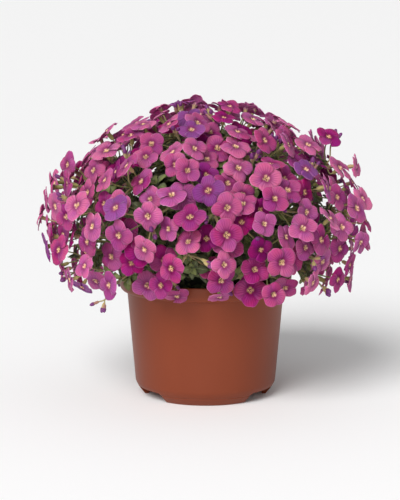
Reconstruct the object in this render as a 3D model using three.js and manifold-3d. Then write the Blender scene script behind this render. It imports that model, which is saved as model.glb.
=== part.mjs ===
// A potted aubrieta in full bloom: a moulded plastic grow pot filled with compost, one leafy green plant
// rooted in the middle of it, and a mound of four-petalled flower heads that the plant's stems carry.
// Millimetres, +Z up. The origin is on the pot's axis, on the surface that the pot stands on, and the
// front of the plant faces -Y.
import * as THREE from "three";
import { mergeVertices } from "three/addons/utils/BufferGeometryUtils.js";
import Module from "manifold-3d";

const wasm = await Module();
wasm.setup();

// Pot
const POT_SIDES = 30;
const SOIL_SIDES = 24;
const POT_HEIGHT = 84;
const RIM_RADIUS = 60;
const RIM_BAND = 10.2;
const WALL = 1.6;
const BODY_TOP_RADIUS = 54.6;
const BODY_FOOT_RADIUS = 48.9;
const CHINE_HEIGHT = 5.4;
const CHINE_RADIUS = 46.6;
const FOOT_RADIUS = 42.4;
const FOOT_WIDTH = 2.6;
const FLOOR_UNDER = 7.4;
const FLOOR_TOP = 9.2;
const NOTCH_COUNT = 3;
const NOTCH_WIDTH = 31;
const NOTCH_HEIGHT = 7;
const NOTCH_LENGTH = 24;
const DRAIN_RADIUS = 4.5;
const DRAIN_CIRCLE = 29;
const DRAIN_SIDES = 7;

// Compost, with a plain hole for the plant's crown
const GAP = 0.3;
const SOIL_TOP = 73.5;
const SOIL_EDGE = 71.5;
const CROWN_HOLE_RADIUS = 8.3;
const CROWN_HOLE_FLOOR = 62.5;

// Bloom: four petals on a short tube, at its real size
const PETALS = 4;
const BLOOM_RADIUS = 10;
const BLOOM_RADIUS_SPREAD = 1.2;
const NOTCH_SHARE = 0.4;
const SHOULDER_ANGLE = THREE.MathUtils.degToRad(31);
const EYE_DEPTH = 0.15;
const CUP = 0.17;
const TUBE_RADIUS = 1.25;

// Mound: the surface that the blooms lie on, from its top to its hem, as radius, height and the
// angle in degrees above the horizon at which a bloom there faces.
const MOUND = [
  [0, 198, 70],
  [30, 194, 60],
  [58, 180, 48],
  [84, 160, 34],
  [101, 140, 18],
  [105, 116, 4],
  [100, 96, -8],
  [88, 76, -24],
];
const MOUND_WIDEST = 106;
const BLOOM_SPACING = 11;
const HEM_SPACING = 18.5;
const HEM_BELOW = 108;
const DARTS = 110000;
const LEVEL_SPREAD = 7.5;
const FACING_SPREAD = 0.42;
const BLOOM_MARGIN = 1.6;
const LEVEL_WITH = 0.9;
const LEVEL_CLEARANCE = 2.3;

// The hem stops higher at the front, where the pot's rim shows, and a gap there shows the leaves.
const HEM_FRONT = 92;
const HEM_SIDES = 80;
const FRONT_GAP = { left: -13, right: 9, top: 112 };

// Heads: the blooms are carried in groups, each on a stem of its own
const HUB_SPACING = 33.6;
const HUB_DEPTH = 21;
const HUB_REACH = 36;
const HUB_DARTS = 12000;
const KNOT_LENGTH = 5;
const KNOT_RADIUS = 2.2;
const KNOT_POINT = 1;
const KNOT_PORTS = 9;
const PORT_LEAN = 0.25;
const STEM_RADIUS = 1.2;
const STEM_HEART = [0, 0, 100];
const STEM_START = 0.35;
const STEM_CLEARANCE = 2.5;
const STALK_CLEARANCE = 0.85;
const BAR_STEPS = 12;

// Sprays that stand out of the mound, each as the hub that carries it and its blooms, a bloom as its
// middle, the compass angle and the elevation in degrees that it faces, and its radius.
const SPRAYS = [
  { hub: [-78, -10, 112], blooms: [[-108, -12, 118, 190, -8, 9.4]] },
  {
    hub: [-73, -20, 98],
    blooms: [
      [-99, -22, 93, 190, -24, 9.2],
      [-84, -30, 80, 222, -52, 9.4],
    ],
  },
  { hub: [79, -4, 158], blooms: [[84, -8, 180, -66, 50, 9.8], [103, -6, 160, -20, 10, 9.2]] },
  { hub: [82, -8, 131], blooms: [[104, -8, 128, -2, -14, 9]] },
  {
    hub: [-31, -57, 99],
    blooms: [
      [-38, -70, 88, -102, 0, 10.8],
      [-19, -71, 81, -82, -52, 9],
      [-27, -77, 106, -96, 8, 10.8],
    ],
  },
  {
    hub: [-52, -44, 108],
    blooms: [
      [-62, -63, 106, -126, 0, 10.2],
      [-76, -50, 120, -152, 6, 10.4],
      [-52, -74, 124, -122, 12, 10.8],
    ],
  },
  { hub: [32, -58, 97], blooms: [[29, -77, 86, -84, 4, 11.4]] },
  {
    hub: [1, -58, 99],
    blooms: [
      [3, -71, 100, -96, 6, 9],
      [9, -73, 81, -82, -58, 8.4],
    ],
  },
];

// The bare stem that leans across the front, and ends in a leaf
const FRONT_STEM = [
  [12, -36, 92],
  [16, -64, 91],
  [42, -73, 107],
];
const FRONT_LEAF = [51, -76, 104];

// Leaves: spoon-shaped blades with a pair of teeth, in whorls of up to three along the stems, and on
// the core of the plant. A blade's outline is listed along it and across it, as shares of its length
// and its width, with how far it rises.
const LEAF_LENGTH = 14;
const LEAF_WIDTH = 6.92;
const LEAF_THICKNESS = 0.8;
const LEAF_OUTLINE = [
  [0.48, -0.27, 0.05],
  [0.68, -0.5, 0.06],
  [1, 0, -0.04],
  [0.68, 0.5, 0.06],
  [0.48, 0.27, 0.05],
];
const LEAF_TRIES = 1;
const WHORL_LENGTH = 2.4;
const CORE_LEAVES = 6;
const CORE_SIDES = 13;
const CORE = [
  [30, 77.5],
  [43, 88],
  [49, 98],
  [51, 114],
  [52, 130],
  [46, 145],
  [32, 155],
  [16, 160],
];
const CORE_BOTTOM = 76;
const CORE_TOP = 161;
const CROWN_RADIUS = 7.4;
const CROWN_SIDES = 7;

// Where solids join, facets smaller than this melt into their neighbours.
const JOIN_TOLERANCE = 0.2;

const SEED = 311;

// Random numbers from 0 to 1, the same on every run.
function randomFrom(seed) {
  let state = seed;
  return () => {
    state = (state * 16807) % 2147483647;
    return state / 2147483647;
  };
}

const vec = (x, y, z) => new THREE.Vector3(x, y, z);

function facingFrom(compass, elevation) {
  const [a, e] = [THREE.MathUtils.degToRad(compass), THREE.MathUtils.degToRad(elevation)];
  return vec(Math.cos(a) * Math.cos(e), Math.sin(a) * Math.cos(e), Math.sin(e));
}

// A closed solid from points and triangles that face out.
function solidFrom(points, triangles) {
  const vertProperties = new Float32Array(points.flatMap((p) => [p.x, p.y, p.z]));
  const triVerts = new Uint32Array(triangles.flat());
  return new wasm.Manifold(new wasm.Mesh({ numProp: 3, vertProperties, triVerts }));
}

function solidOf(geometry) {
  const bare = geometry.clone();
  bare.deleteAttribute("normal");
  bare.deleteAttribute("uv");
  const merged = mergeVertices(bare, 1e-4);
  return new wasm.Manifold(
    new wasm.Mesh({
      numProp: 3,
      vertProperties: new Float32Array(merged.attributes.position.array),
      triVerts: new Uint32Array(merged.index.array),
    }),
  );
}

function geometryOf(solid) {
  const mesh = solid.getMesh();
  const positions = new Float32Array(mesh.numVert * 3);
  for (let i = 0; i < mesh.numVert; i++) {
    positions.set(mesh.vertProperties.subarray(i * mesh.numProp, i * mesh.numProp + 3), i * 3);
  }
  const geometry = new THREE.BufferGeometry();
  geometry.setAttribute("position", new THREE.BufferAttribute(positions, 3));
  geometry.setIndex(new THREE.BufferAttribute(mesh.triVerts, 1));
  geometry.computeVertexNormals();
  return geometry;
}

// A solid turned from a closed profile of [radius, height] about +Z.
function turned(profile, sides) {
  const points = [...profile, profile[0]].map(([r, z]) => new THREE.Vector2(r, z));
  const geometry = new THREE.LatheGeometry(points, sides);
  geometry.rotateX(Math.PI / 2);
  return solidOf(geometry);
}

function makePot() {
  const bandFoot = POT_HEIGHT - RIM_BAND;
  const profile = [
    [0, FLOOR_UNDER],
    [FOOT_RADIUS - FOOT_WIDTH, FLOOR_UNDER],
    [FOOT_RADIUS - FOOT_WIDTH, 0],
    [FOOT_RADIUS, 0],
    [CHINE_RADIUS, CHINE_HEIGHT],
    [BODY_FOOT_RADIUS, CHINE_HEIGHT + 4],
    [BODY_TOP_RADIUS, bandFoot],
    [RIM_RADIUS - 1.8, bandFoot + 0.4],
    [RIM_RADIUS - 0.5, bandFoot + 2.4],
    [RIM_RADIUS, POT_HEIGHT],
    [RIM_RADIUS - 2, POT_HEIGHT],
    [RIM_RADIUS - 2.6, bandFoot + 1.8],
    [BODY_TOP_RADIUS - WALL, bandFoot + 1.2],
    [BODY_FOOT_RADIUS - WALL - 0.6, FLOOR_TOP],
    [0, FLOOR_TOP],
  ];
  let pot = turned(profile, POT_SIDES);
  for (let i = 0; i < NOTCH_COUNT; i++) {
    const angle = (Math.PI * 2 * (i + 0.75)) / NOTCH_COUNT;
    const notch = new THREE.BoxGeometry(NOTCH_LENGTH, NOTCH_WIDTH, 2 * NOTCH_HEIGHT);
    notch.translate(FOOT_RADIUS + 3, 0, 0);
    notch.rotateZ(angle);
    const drain = new THREE.CylinderGeometry(DRAIN_RADIUS, DRAIN_RADIUS, 4 * FLOOR_TOP, DRAIN_SIDES);
    drain.rotateX(Math.PI / 2);
    drain.translate(DRAIN_CIRCLE, 0, 0);
    drain.rotateZ(angle);
    pot = pot.subtract(solidOf(notch)).subtract(solidOf(drain));
  }
  return pot;
}

function makeSoil() {
  const inside = Math.cos(Math.PI / POT_SIDES);
  const low = (BODY_FOOT_RADIUS - WALL - 0.6) * inside - GAP;
  const high = (BODY_TOP_RADIUS - WALL) * inside - GAP;
  const reach = (SOIL_EDGE - FLOOR_TOP) / (POT_HEIGHT - RIM_BAND + 1.2 - FLOOR_TOP);
  const profile = [
    [0, FLOOR_TOP + GAP],
    [low, FLOOR_TOP + GAP],
    [low + (high - low) * reach, SOIL_EDGE],
    [34, SOIL_TOP + 0.2],
    [CROWN_HOLE_RADIUS, SOIL_TOP],
    [CROWN_HOLE_RADIUS, CROWN_HOLE_FLOOR],
    [0, CROWN_HOLE_FLOOR],
  ];
  return turned(profile, SOIL_SIDES);
}

// A place on the mound's surface, at a share of the way from its top to its hem.
const moundLengths = MOUND.slice(1).map(([r, z], i) => Math.hypot(r - MOUND[i][0], z - MOUND[i][1]));
const moundLength = moundLengths.reduce((sum, length) => sum + length, 0);

function moundAt(share) {
  let left = share * moundLength;
  let i = 0;
  while (i < moundLengths.length - 1 && left > moundLengths[i]) {
    left -= moundLengths[i];
    i += 1;
  }
  const t = left / moundLengths[i];
  return [0, 1, 2].map((k) => MOUND[i][k] * (1 - t) + MOUND[i + 1][k] * t);
}

// Where the mound bulges and dips round its axis.
function lump(angle) {
  return 1 + 0.02 * Math.sin(2 * angle + 0.6) + 0.025 * Math.sin(6 * angle + 2.1);
}

function hemAt(angle) {
  const off = Math.atan2(Math.sin(angle + Math.PI / 2), Math.cos(angle + Math.PI / 2)) / 0.6;
  return HEM_SIDES + (HEM_FRONT - HEM_SIDES) * Math.exp(-off * off);
}

function inFrontGap(p) {
  return p.y < 0 && p.x > FRONT_GAP.left && p.x < FRONT_GAP.right && p.z < FRONT_GAP.top;
}

// A dart thrown at the mound: it draws the same numbers whether or not it lands.
function throwDart(random) {
  const [share, turn, keep, rise] = [random(), random(), random(), random()];
  const angle = turn * 2 * Math.PI;
  const [r, z, tilt] = moundAt(share);
  const out = facingFrom(THREE.MathUtils.radToDeg(angle), tilt);
  const wide = r * lump(angle);
  const skin = vec(wide * Math.cos(angle), wide * Math.sin(angle), z);
  const centre = skin.clone().addScaledVector(out, (rise * 2 - 1) * LEVEL_SPREAD);
  const lands = keep < r / MOUND_WIDEST && z > hemAt(angle) && !inFrontGap(skin);
  return { skin, centre, out, lands };
}

// A hub: the knot where a head's stalks spring from its ports, and the stem that carries it.
function makeHub(at, skin) {
  const aim = skin.clone().sub(at).normalize();
  const stemStart = vec(...STEM_HEART).lerp(at, STEM_START);
  const along = at.clone().sub(stemStart).normalize();
  const tip = at.clone().addScaledVector(aim, KNOT_LENGTH);
  const side = Math.abs(aim.z) < 0.9 ? vec(0, 0, 1) : vec(1, 0, 0);
  const p = side.clone().cross(aim).normalize();
  const q = aim.clone().cross(p);
  const shoulder = tip.clone().addScaledVector(aim, -KNOT_POINT);
  const ring = Array.from({ length: KNOT_PORTS }, (_, k) =>
    shoulder
      .clone()
      .addScaledVector(p, KNOT_RADIUS * Math.cos((k * 2 * Math.PI) / KNOT_PORTS))
      .addScaledVector(q, KNOT_RADIUS * Math.sin((k * 2 * Math.PI) / KNOT_PORTS)),
  );
  const ports = ring.map((corner, k) => {
    const next = ring[(k + 1) % KNOT_PORTS];
    const middle = tip.clone().add(corner).add(next).divideScalar(3);
    const normal = corner.clone().sub(tip).cross(next.clone().sub(tip)).normalize();
    return { middle, normal, bloom: null };
  });
  return {
    at,
    skin,
    aim,
    tip,
    ring,
    ports,
    stemStart,
    stemEnd: at.clone().addScaledVector(aim, -GAP - 0.1 - STEM_RADIUS * along.cross(aim).length()),
  };
}

function placeHubs() {
  const hubs = SPRAYS.map(({ hub, blooms }) => {
    const skin = blooms.reduce((sum, [x, y, z]) => sum.add(vec(x, y, z)), vec(0, 0, 0));
    return makeHub(vec(...hub), skin.divideScalar(blooms.length));
  });
  const random = randomFrom(SEED);
  for (let i = 0; i < HUB_DARTS; i++) {
    const { skin, out, lands } = throwDart(random);
    if (lands && hubs.every((hub) => hub.skin.distanceTo(skin) > HUB_SPACING)) {
      const at = skin.clone().addScaledVector(out, -HUB_DEPTH);
      at.z = Math.max(at.z, Math.hypot(at.x, at.y) < RIM_RADIUS + 16 ? POT_HEIGHT + 7 : at.z);
      hubs.push(makeHub(at, skin));
    }
  }
  return hubs;
}

// Two flat discs near each other: level ones need a clearance, and others cross if the chords that
// their planes cut from each other overlap.
function discsMeet(a, b) {
  if (a.centre.distanceTo(b.centre) > a.radius + b.radius) {
    return false;
  }
  const mean = a.facing.clone().add(b.facing);
  const apart = Math.abs(b.centre.clone().sub(a.centre).dot(mean)) / mean.length();
  if (a.facing.dot(b.facing) > LEVEL_WITH && apart < LEVEL_CLEARANCE) {
    return true;
  }
  return [0, BLOOM_MARGIN, -BLOOM_MARGIN].some((shift) => discsCross(a, b, shift));
}

function discsCross(a, b, shift) {
  const away = b.centre.clone().addScaledVector(a.facing, shift).sub(a.centre);
  const line = a.facing.clone().cross(b.facing);
  const turn = line.length();
  if (turn < 1e-3) {
    return false;
  }
  line.divideScalar(turn);
  const across = line.clone().cross(a.facing);
  const reach = away.dot(b.facing) / across.dot(b.facing);
  const chordA = a.radius * a.radius - reach * reach;
  if (chordA <= 0) {
    return false;
  }
  const onLine = across.multiplyScalar(reach).sub(away);
  const along = onLine.dot(line);
  const chordB = b.radius * b.radius - (onLine.lengthSq() - along * along);
  return chordB > 0 && Math.abs(along) < Math.sqrt(chordA) + Math.sqrt(chordB);
}

// Whether a bar from one point to another comes through a disc or within reach of its face.
function barMeetsDisc(from, to, disc) {
  const [high, low] = [from, to].map((p) => p.clone().sub(disc.centre).dot(disc.facing));
  if (Math.min(high, low) > STEM_CLEARANCE || Math.max(high, low) < -STEM_CLEARANCE) {
    return false;
  }
  for (let i = 0; i <= BAR_STEPS; i++) {
    const p = from.clone().lerp(to, i / BAR_STEPS).sub(disc.centre);
    const level = p.dot(disc.facing);
    if (Math.abs(level) < STEM_CLEARANCE && p.lengthSq() - level * level < (disc.radius + 1) ** 2) {
      return true;
    }
  }
  return false;
}

// Least distance between two bars' middle lines.
function barsApart(a, b, c, d) {
  const [u, v, w] = [b.clone().sub(a), d.clone().sub(c), a.clone().sub(c)];
  const [uu, uv, vv, uw, vw] = [u.dot(u), u.dot(v), v.dot(v), u.dot(w), v.dot(w)];
  const clamp = (t) => Math.min(1, Math.max(0, t));
  let s = clamp((uv * vw - vv * uw) / (uu * vv - uv * uv || 1));
  const t = clamp((uv * s + vw) / vv);
  s = clamp((uv * t - uw) / uu);
  return a.clone().addScaledVector(u, s).distanceTo(c.clone().addScaledVector(v, t));
}

// The bars that a bloom or a leaf has to keep clear of: every stem, and every head's knot.
function barsOf(hubs) {
  const bars = hubs.flatMap((hub) => [
    { from: hub.stemStart, to: hub.stemEnd, hub: null },
    { from: hub.at, to: hub.tip, hub },
  ]);
  const [a, b, c] = FRONT_STEM.map((p) => vec(...p));
  const front = [[a, b], [b, c], [c, vec(...FRONT_LEAF)]];
  return [...bars, ...front.map(([from, to]) => ({ from, to, hub: null }))];
}

function roomFor(centre, blooms) {
  return !blooms.some((other) => {
    const level = (centre.z + other.centre.z) / 2;
    return centre.distanceTo(other.centre) < (level > HEM_BELOW ? BLOOM_SPACING : HEM_SPACING);
  });
}

function bloomFits(bloom, blooms, bars) {
  for (const other of blooms) {
    const distance = bloom.centre.distanceTo(other.centre);
    if (discsMeet(bloom, other)) {
      return false;
    }
    if (distance > 2 * HUB_REACH) {
      continue;
    }
    if (barMeetsDisc(bloom.neck, bloom.root, other) || barMeetsDisc(other.neck, other.root, bloom)) {
      return false;
    }
    const apart = barsApart(bloom.neck, bloom.root, other.neck, other.root);
    if (apart < (bloom.hub === other.hub ? STALK_CLEARANCE : STEM_CLEARANCE)) {
      return false;
    }
  }
  return bars.every((bar) => {
    if (bloom.centre.distanceTo(bar.to) > 80) {
      return true;
    }
    const apart = barsApart(bloom.neck, bloom.root, bar.from, bar.to);
    const clear = bar.hub === bloom.hub || apart > STEM_CLEARANCE;
    return clear && !barMeetsDisc(bar.from, bar.to, bloom);
  });
}

// A bloom, with its stalk's two ends: the neck under the petals, and the root on the free port of a
// hub that looks towards it most nearly; or nothing, if no port does.
function makeBloom(hub, centre, facing, radius, spin, cup) {
  const neck = centre.clone().addScaledVector(facing, -2);
  let port = null;
  let best = PORT_LEAN;
  for (const other of hub.ports) {
    const lean = neck.clone().sub(other.middle).normalize().dot(other.normal);
    if (!other.bloom && lean > best) {
      [port, best] = [other, lean];
    }
  }
  return port && { hub, port, centre, facing, radius, spin, cup, neck, root: port.middle };
}

// Every spray's blooms first, then each dart that lands clear of all that is already there.
function placeBlooms(hubs, bars) {
  const random = randomFrom(SEED + 1);
  const blooms = [];
  const take = (bloom) => {
    bloom.port.bloom = bloom;
    blooms.push(bloom);
  };
  SPRAYS.forEach((spray, i) =>
    spray.blooms.forEach(([x, y, z, compass, elevation, radius]) =>
      take(makeBloom(hubs[i], vec(x, y, z), facingFrom(compass, elevation), radius, random(), random())),
    ),
  );
  for (let i = 0; i < DARTS; i++) {
    const { centre, out, lands } = throwDart(random);
    const wander = vec(random() * 2 - 1, random() * 2 - 1, random() * 2 - 1);
    const facing = out.clone().addScaledVector(wander, FACING_SPREAD).normalize();
    const radius = BLOOM_RADIUS + (random() * 2 - 1) * BLOOM_RADIUS_SPREAD;
    const [spin, cup] = [random() * 2 * Math.PI, random()];
    if (!lands || !roomFor(centre, blooms)) {
      continue;
    }
    const near = hubs.filter((hub) => hub.tip.distanceTo(centre) < HUB_REACH);
    near.sort((a, b) => a.tip.distanceTo(centre) - b.tip.distanceTo(centre));
    for (const hub of near.slice(0, 3)) {
      const bloom = makeBloom(hub, centre, facing, radius, spin, cup);
      if (bloom && bloom.neck.clone().sub(bloom.root).dot(facing) > 2 && bloomFits(bloom, blooms, bars)) {
        take(bloom);
        break;
      }
    }
  }
  return blooms;
}

// Joins two rings of points that run the same way round an axis, each as [index, angle].
function bridge(outer, inner) {
  const turn = 2 * Math.PI;
  const ahead = (angle) => ((((angle - inner[0][1] + Math.PI) % turn) + turn) % turn) - Math.PI;
  const off = outer.map(([, angle]) => Math.abs(ahead(angle)));
  const start = off.indexOf(Math.min(...off));
  const at = (ring, from, i) => {
    const [index, angle] = ring[(from + i) % ring.length];
    return [index, angle + (from + i >= ring.length ? turn : 0)];
  };
  const shift = ahead(outer[start][1]) - (outer[start][1] - inner[0][1]);
  const triangles = [];
  let [i, k] = [0, 0];
  while (i < outer.length || k < inner.length) {
    const [[o], [next, angle]] = [at(outer, start, i), at(outer, start, i + 1)];
    const [[r], [nextIn, angleIn]] = [at(inner, 0, k), at(inner, 0, k + 1)];
    if (k === inner.length || (i < outer.length && angle + shift < angleIn)) {
      triangles.push([next, o, r]);
      i += 1;
    } else {
      triangles.push([o, r, nextIn]);
      k += 1;
    }
  }
  return triangles;
}

// Adds a bloom to a head's points and triangles: the top and underside of its four petals, which thin
// out towards their edges, and a three-sided stalk down to the three corners of its port.
function addBloom(points, triangles, bloom, corners) {
  const { centre, facing, radius, spin, cup } = bloom;
  const side = Math.abs(facing.z) < 0.9 ? vec(0, 0, 1) : vec(1, 0, 0);
  const u = side.clone().cross(facing).normalize();
  const v = facing.clone().cross(u);
  const at = (angle, r, height) =>
    centre
      .clone()
      .addScaledVector(u, r * Math.cos(angle))
      .addScaledVector(v, r * Math.sin(angle))
      .addScaledVector(facing, height);
  const lift = (i) => radius * CUP * cup * (i % 2 ? 1 : 0.45);
  const first = points.length;
  points.push(at(0, 0, -EYE_DEPTH));
  for (let i = 0; i < PETALS; i++) {
    const axis = spin + (i * 2 * Math.PI) / PETALS;
    points.push(at(axis - Math.PI / PETALS, radius * NOTCH_SHARE, 0));
    points.push(at(axis - SHOULDER_ANGLE, radius, lift(i)));
    points.push(at(axis + SHOULDER_ANGLE, radius, lift(i)));
  }
  const outer = [];
  for (let i = 0; i < PETALS; i++) {
    const angle = spin + (i * 2 * Math.PI) / PETALS;
    [-Math.PI / PETALS, -SHOULDER_ANGLE, SHOULDER_ANGLE].forEach((off, k) => {
      outer.push([first + 1 + 3 * i + k, angle + off]);
    });
  }
  // The stalk's three edges run straight, so its top is turned the way that its port is.
  const middle = corners.reduce((sum, c) => sum.add(points[c]), vec(0, 0, 0)).divideScalar(3);
  const corner = points[corners[0]].clone().sub(middle);
  const phase = Math.atan2(corner.dot(v), corner.dot(u));
  const inner = [0, 1, 2].map((k) => {
    const angle = phase + (k * 2 * Math.PI) / 3;
    points.push(at(angle, TUBE_RADIUS, -2));
    return [points.length - 1, angle];
  });
  for (let i = 0; i < PETALS; i++) {
    const next = (i + 1) % PETALS;
    const [notch, left, right] = [1, 2, 3].map((k) => first + 3 * i + k);
    const nextNotch = first + 1 + 3 * next;
    triangles.push([first, notch, left], [first, left, right], [first, right, nextNotch]);
  }
  triangles.push(...bridge(outer, inner));
  for (let k = 0; k < 3; k++) {
    const [a, b] = [inner[k][0], inner[(k + 1) % 3][0]];
    const [c, d] = [corners[k], corners[(k + 1) % 3]];
    triangles.push([a, c, b], [b, c, d]);
  }
}

// A straight bar with flat sides.
function bar(from, to, radiusFrom, radiusTo, sides = 3) {
  const along = to.clone().sub(from).normalize();
  const side = Math.abs(along.z) < 0.9 ? vec(0, 0, 1) : vec(1, 0, 0);
  const p = side.clone().cross(along).normalize();
  const q = along.clone().cross(p);
  const ends = [
    [from, radiusFrom],
    [to, radiusTo],
  ];
  const points = ends.flatMap(([end, radius]) =>
    Array.from({ length: sides }, (_, k) =>
      end
        .clone()
        .addScaledVector(p, radius * Math.cos((k * 2 * Math.PI) / sides))
        .addScaledVector(q, radius * Math.sin((k * 2 * Math.PI) / sides)),
    ),
  );
  const triangles = [];
  for (let k = 0; k < sides; k++) {
    const n = (k + 1) % sides;
    triangles.push([k, n, k + sides], [n, n + sides, k + sides]);
    if (k > 1) {
      triangles.push([0, k, k - 1], [sides, sides + k - 1, sides + k]);
    }
  }
  return solidFrom(points, triangles);
}

// A head: the knot, a pointed six-sided cup, and the blooms that spring from its ports.
function headSolid({ at, tip, ring, ports }) {
  const points = [at.clone(), tip.clone(), ...ring];
  const triangles = [];
  ports.forEach(({ bloom }, k) => {
    const [corner, next] = [2 + k, 2 + ((k + 1) % ports.length)];
    triangles.push([0, next, corner]);
    if (bloom) {
      addBloom(points, triangles, bloom, [1, corner, next]);
    } else {
      triangles.push([1, corner, next]);
    }
  });
  return solidFrom(points, triangles);
}

// Adds a leaf blade that grows from a three-cornered port: its foot on the left, its foot on the right
// and its crown, seen from outside.
function addLeaf(points, triangles, { base, along, facing, length }, [left, right, crown]) {
  const across = facing.clone().cross(along).normalize();
  const width = (LEAF_WIDTH * length) / LEAF_LENGTH;
  const first = points.length;
  for (const drop of [0, LEAF_THICKNESS]) {
    for (const [x, y, z] of LEAF_OUTLINE) {
      points.push(
        base
          .clone()
          .addScaledVector(along, x * length)
          .addScaledVector(across, y * width)
          .addScaledVector(facing, z * length - drop),
      );
    }
  }
  const n = LEAF_OUTLINE.length;
  const over = [crown, ...Array.from({ length: n }, (_, k) => first + k), crown];
  const under = [left, ...Array.from({ length: n }, (_, k) => first + n + k), right];
  triangles.push([over[0], over[1], over[5]], [over[1], over[3], over[5]]);
  triangles.push([over[1], over[2], over[3]], [over[5], over[3], over[4]]);
  triangles.push([left, right, under[5]], [left, under[5], under[1]], [under[1], under[5], under[3]]);
  triangles.push([under[1], under[3], under[2]], [under[5], under[4], under[3]]);
  for (let k = 0; k <= n; k++) {
    triangles.push([over[k], under[k], under[k + 1]]);
    triangles.push([over[k], under[k + 1], over[k + 1]]);
  }
}

function leafFits(disc, leaves, blooms, bars) {
  const overRim = Math.abs(Math.hypot(disc.centre.x, disc.centre.y) - RIM_RADIUS) < 14;
  if (disc.centre.z - disc.radius < (overRim ? POT_HEIGHT + 2 : SOIL_TOP + 3)) {
    return false;
  }
  return (
    !blooms.some((bloom) => discsMeet(disc, bloom) || barMeetsDisc(bloom.neck, bloom.root, disc)) &&
    !leaves.some((leaf) => discsMeet(disc, leaf.disc)) &&
    !bars.some((bar) => disc.centre.distanceTo(bar.to) < 80 && barMeetsDisc(bar.from, bar.to, disc))
  );
}

// A leaf that grows from a base, out the way that a normal points, or nothing if it is in the way.
function tryLeaf(random, base, normal, up, leaves, blooms, bars) {
  const wander = vec(random() * 2 - 1, random() * 2 - 1, random() * 2 - 1);
  const along = normal.clone().addScaledVector(up, 0.5).addScaledVector(wander, 0.6).normalize();
  const facing = up.clone().addScaledVector(wander, 0.2);
  facing.addScaledVector(along, -facing.dot(along)).normalize();
  const length = LEAF_LENGTH * (0.72 + 0.45 * random());
  const centre = base.clone().addScaledVector(along, length * 0.6);
  const disc = { centre, facing, radius: length * 0.36 };
  const fits = along.dot(normal) > 0.45 && leafFits(disc, leaves, blooms, bars);
  return fits && { base, along, facing, length, disc };
}

// The rings of three points that a stem is made of, and the ports for the leaves of its whorl.
function stemFrame({ stemStart, stemEnd }, share) {
  const way = stemEnd.clone().sub(stemStart);
  const up = way.clone().normalize();
  const side = Math.abs(up.z) < 0.9 ? vec(0, 0, 1) : vec(1, 0, 0);
  const p = side.clone().cross(up).normalize();
  const q = up.clone().cross(p);
  const shares = [0, share, share + WHORL_LENGTH / way.length(), 1];
  const points = shares.flatMap((t, ring) =>
    [0, 1, 2].map((k) => {
      const angle = (k * 2 * Math.PI) / 3;
      const radius = ring === 0 ? STEM_RADIUS * 1.3 : STEM_RADIUS;
      return stemStart
        .clone()
        .addScaledVector(way, t)
        .addScaledVector(p, radius * Math.cos(angle))
        .addScaledVector(q, radius * Math.sin(angle));
    }),
  );
  const ports = [0, 1, 2].map((k) => {
    const corners = [3 + k, 3 + ((k + 1) % 3), 6 + k];
    const [a, b, c] = corners.map((i) => points[i]);
    const normal = b.clone().sub(a).cross(c.clone().sub(a)).normalize();
    return { corners, normal, base: a.clone().add(b).add(c).divideScalar(3), leaf: null };
  });
  return { points, ports, up };
}

// A stem, with the leaves that its ports carry.
function stemSolid({ points, ports }) {
  const all = [...points];
  const triangles = [
    [0, 2, 1],
    [9, 10, 11],
  ];
  for (let ring = 0; ring < 3; ring++) {
    for (let k = 0; k < 3; k++) {
      const [a, b] = [3 * ring + k, 3 * ring + ((k + 1) % 3)];
      triangles.push([b, b + 3, a + 3]);
      if (ring === 1 && ports[k].leaf) {
        addLeaf(all, triangles, ports[k].leaf, ports[k].corners);
      } else {
        triangles.push([a, b, a + 3]);
      }
    }
  }
  return solidFrom(all, triangles);
}

// A leaf on its own, on a small three-cornered foot.
function leafSolid(leaf) {
  const across = leaf.facing.clone().cross(leaf.along).normalize();
  const foot = (side, rise) =>
    leaf.base.clone().addScaledVector(across, side).addScaledVector(leaf.facing, rise);
  const points = [foot(-0.8, -0.7), foot(0.8, -0.7), foot(0, 0.6)];
  const triangles = [[0, 2, 1]];
  addLeaf(points, triangles, leaf, [0, 1, 2]);
  return solidFrom(points, triangles);
}

// Whorls along the stems, then leaves out of the core, wherever they stand clear of the heads.
function placeLeaves(hubs, blooms, bars) {
  const random = randomFrom(SEED + 2);
  const leaves = [];
  const stems = hubs.map((hub) => {
    const stem = stemFrame(hub, 0.7 + 0.18 * random());
    const others = bars.filter((bar) => bar.from !== hub.stemStart);
    for (const port of stem.ports) {
      for (let i = 0; i < LEAF_TRIES; i++) {
        const leaf = tryLeaf(random, port.base, port.normal, stem.up, leaves, blooms, others);
        if (leaf && !port.leaf) {
          port.leaf = leaf;
          leaves.push(leaf);
        }
      }
    }
    return stem;
  });
  const onCore = [];
  for (let i = 0; i < 12 * CORE_LEAVES; i++) {
    const [share, angle] = [random() * (CORE.length - 1), random() * 2 * Math.PI];
    const [k, t] = [Math.floor(share), share % 1];
    const [r, z] = [0, 1].map((j) => CORE[k][j] * (1 - t) + CORE[k + 1][j] * t);
    const out = vec(Math.cos(angle) * r, Math.sin(angle) * r, (z - 105) * 0.9).normalize();
    const base = vec(Math.cos(angle) * r, Math.sin(angle) * r, z).addScaledVector(out, -4);
    const up = vec(-out.x * out.z, -out.y * out.z, 1 - out.z * out.z + 0.01).normalize();
    const leaf = tryLeaf(random, base, out, up, leaves, blooms, bars);
    if (leaf && onCore.length < CORE_LEAVES) {
      onCore.push(leaf);
      leaves.push(leaf);
    }
  }
  return { stems, onCore, leaves };
}

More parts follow.
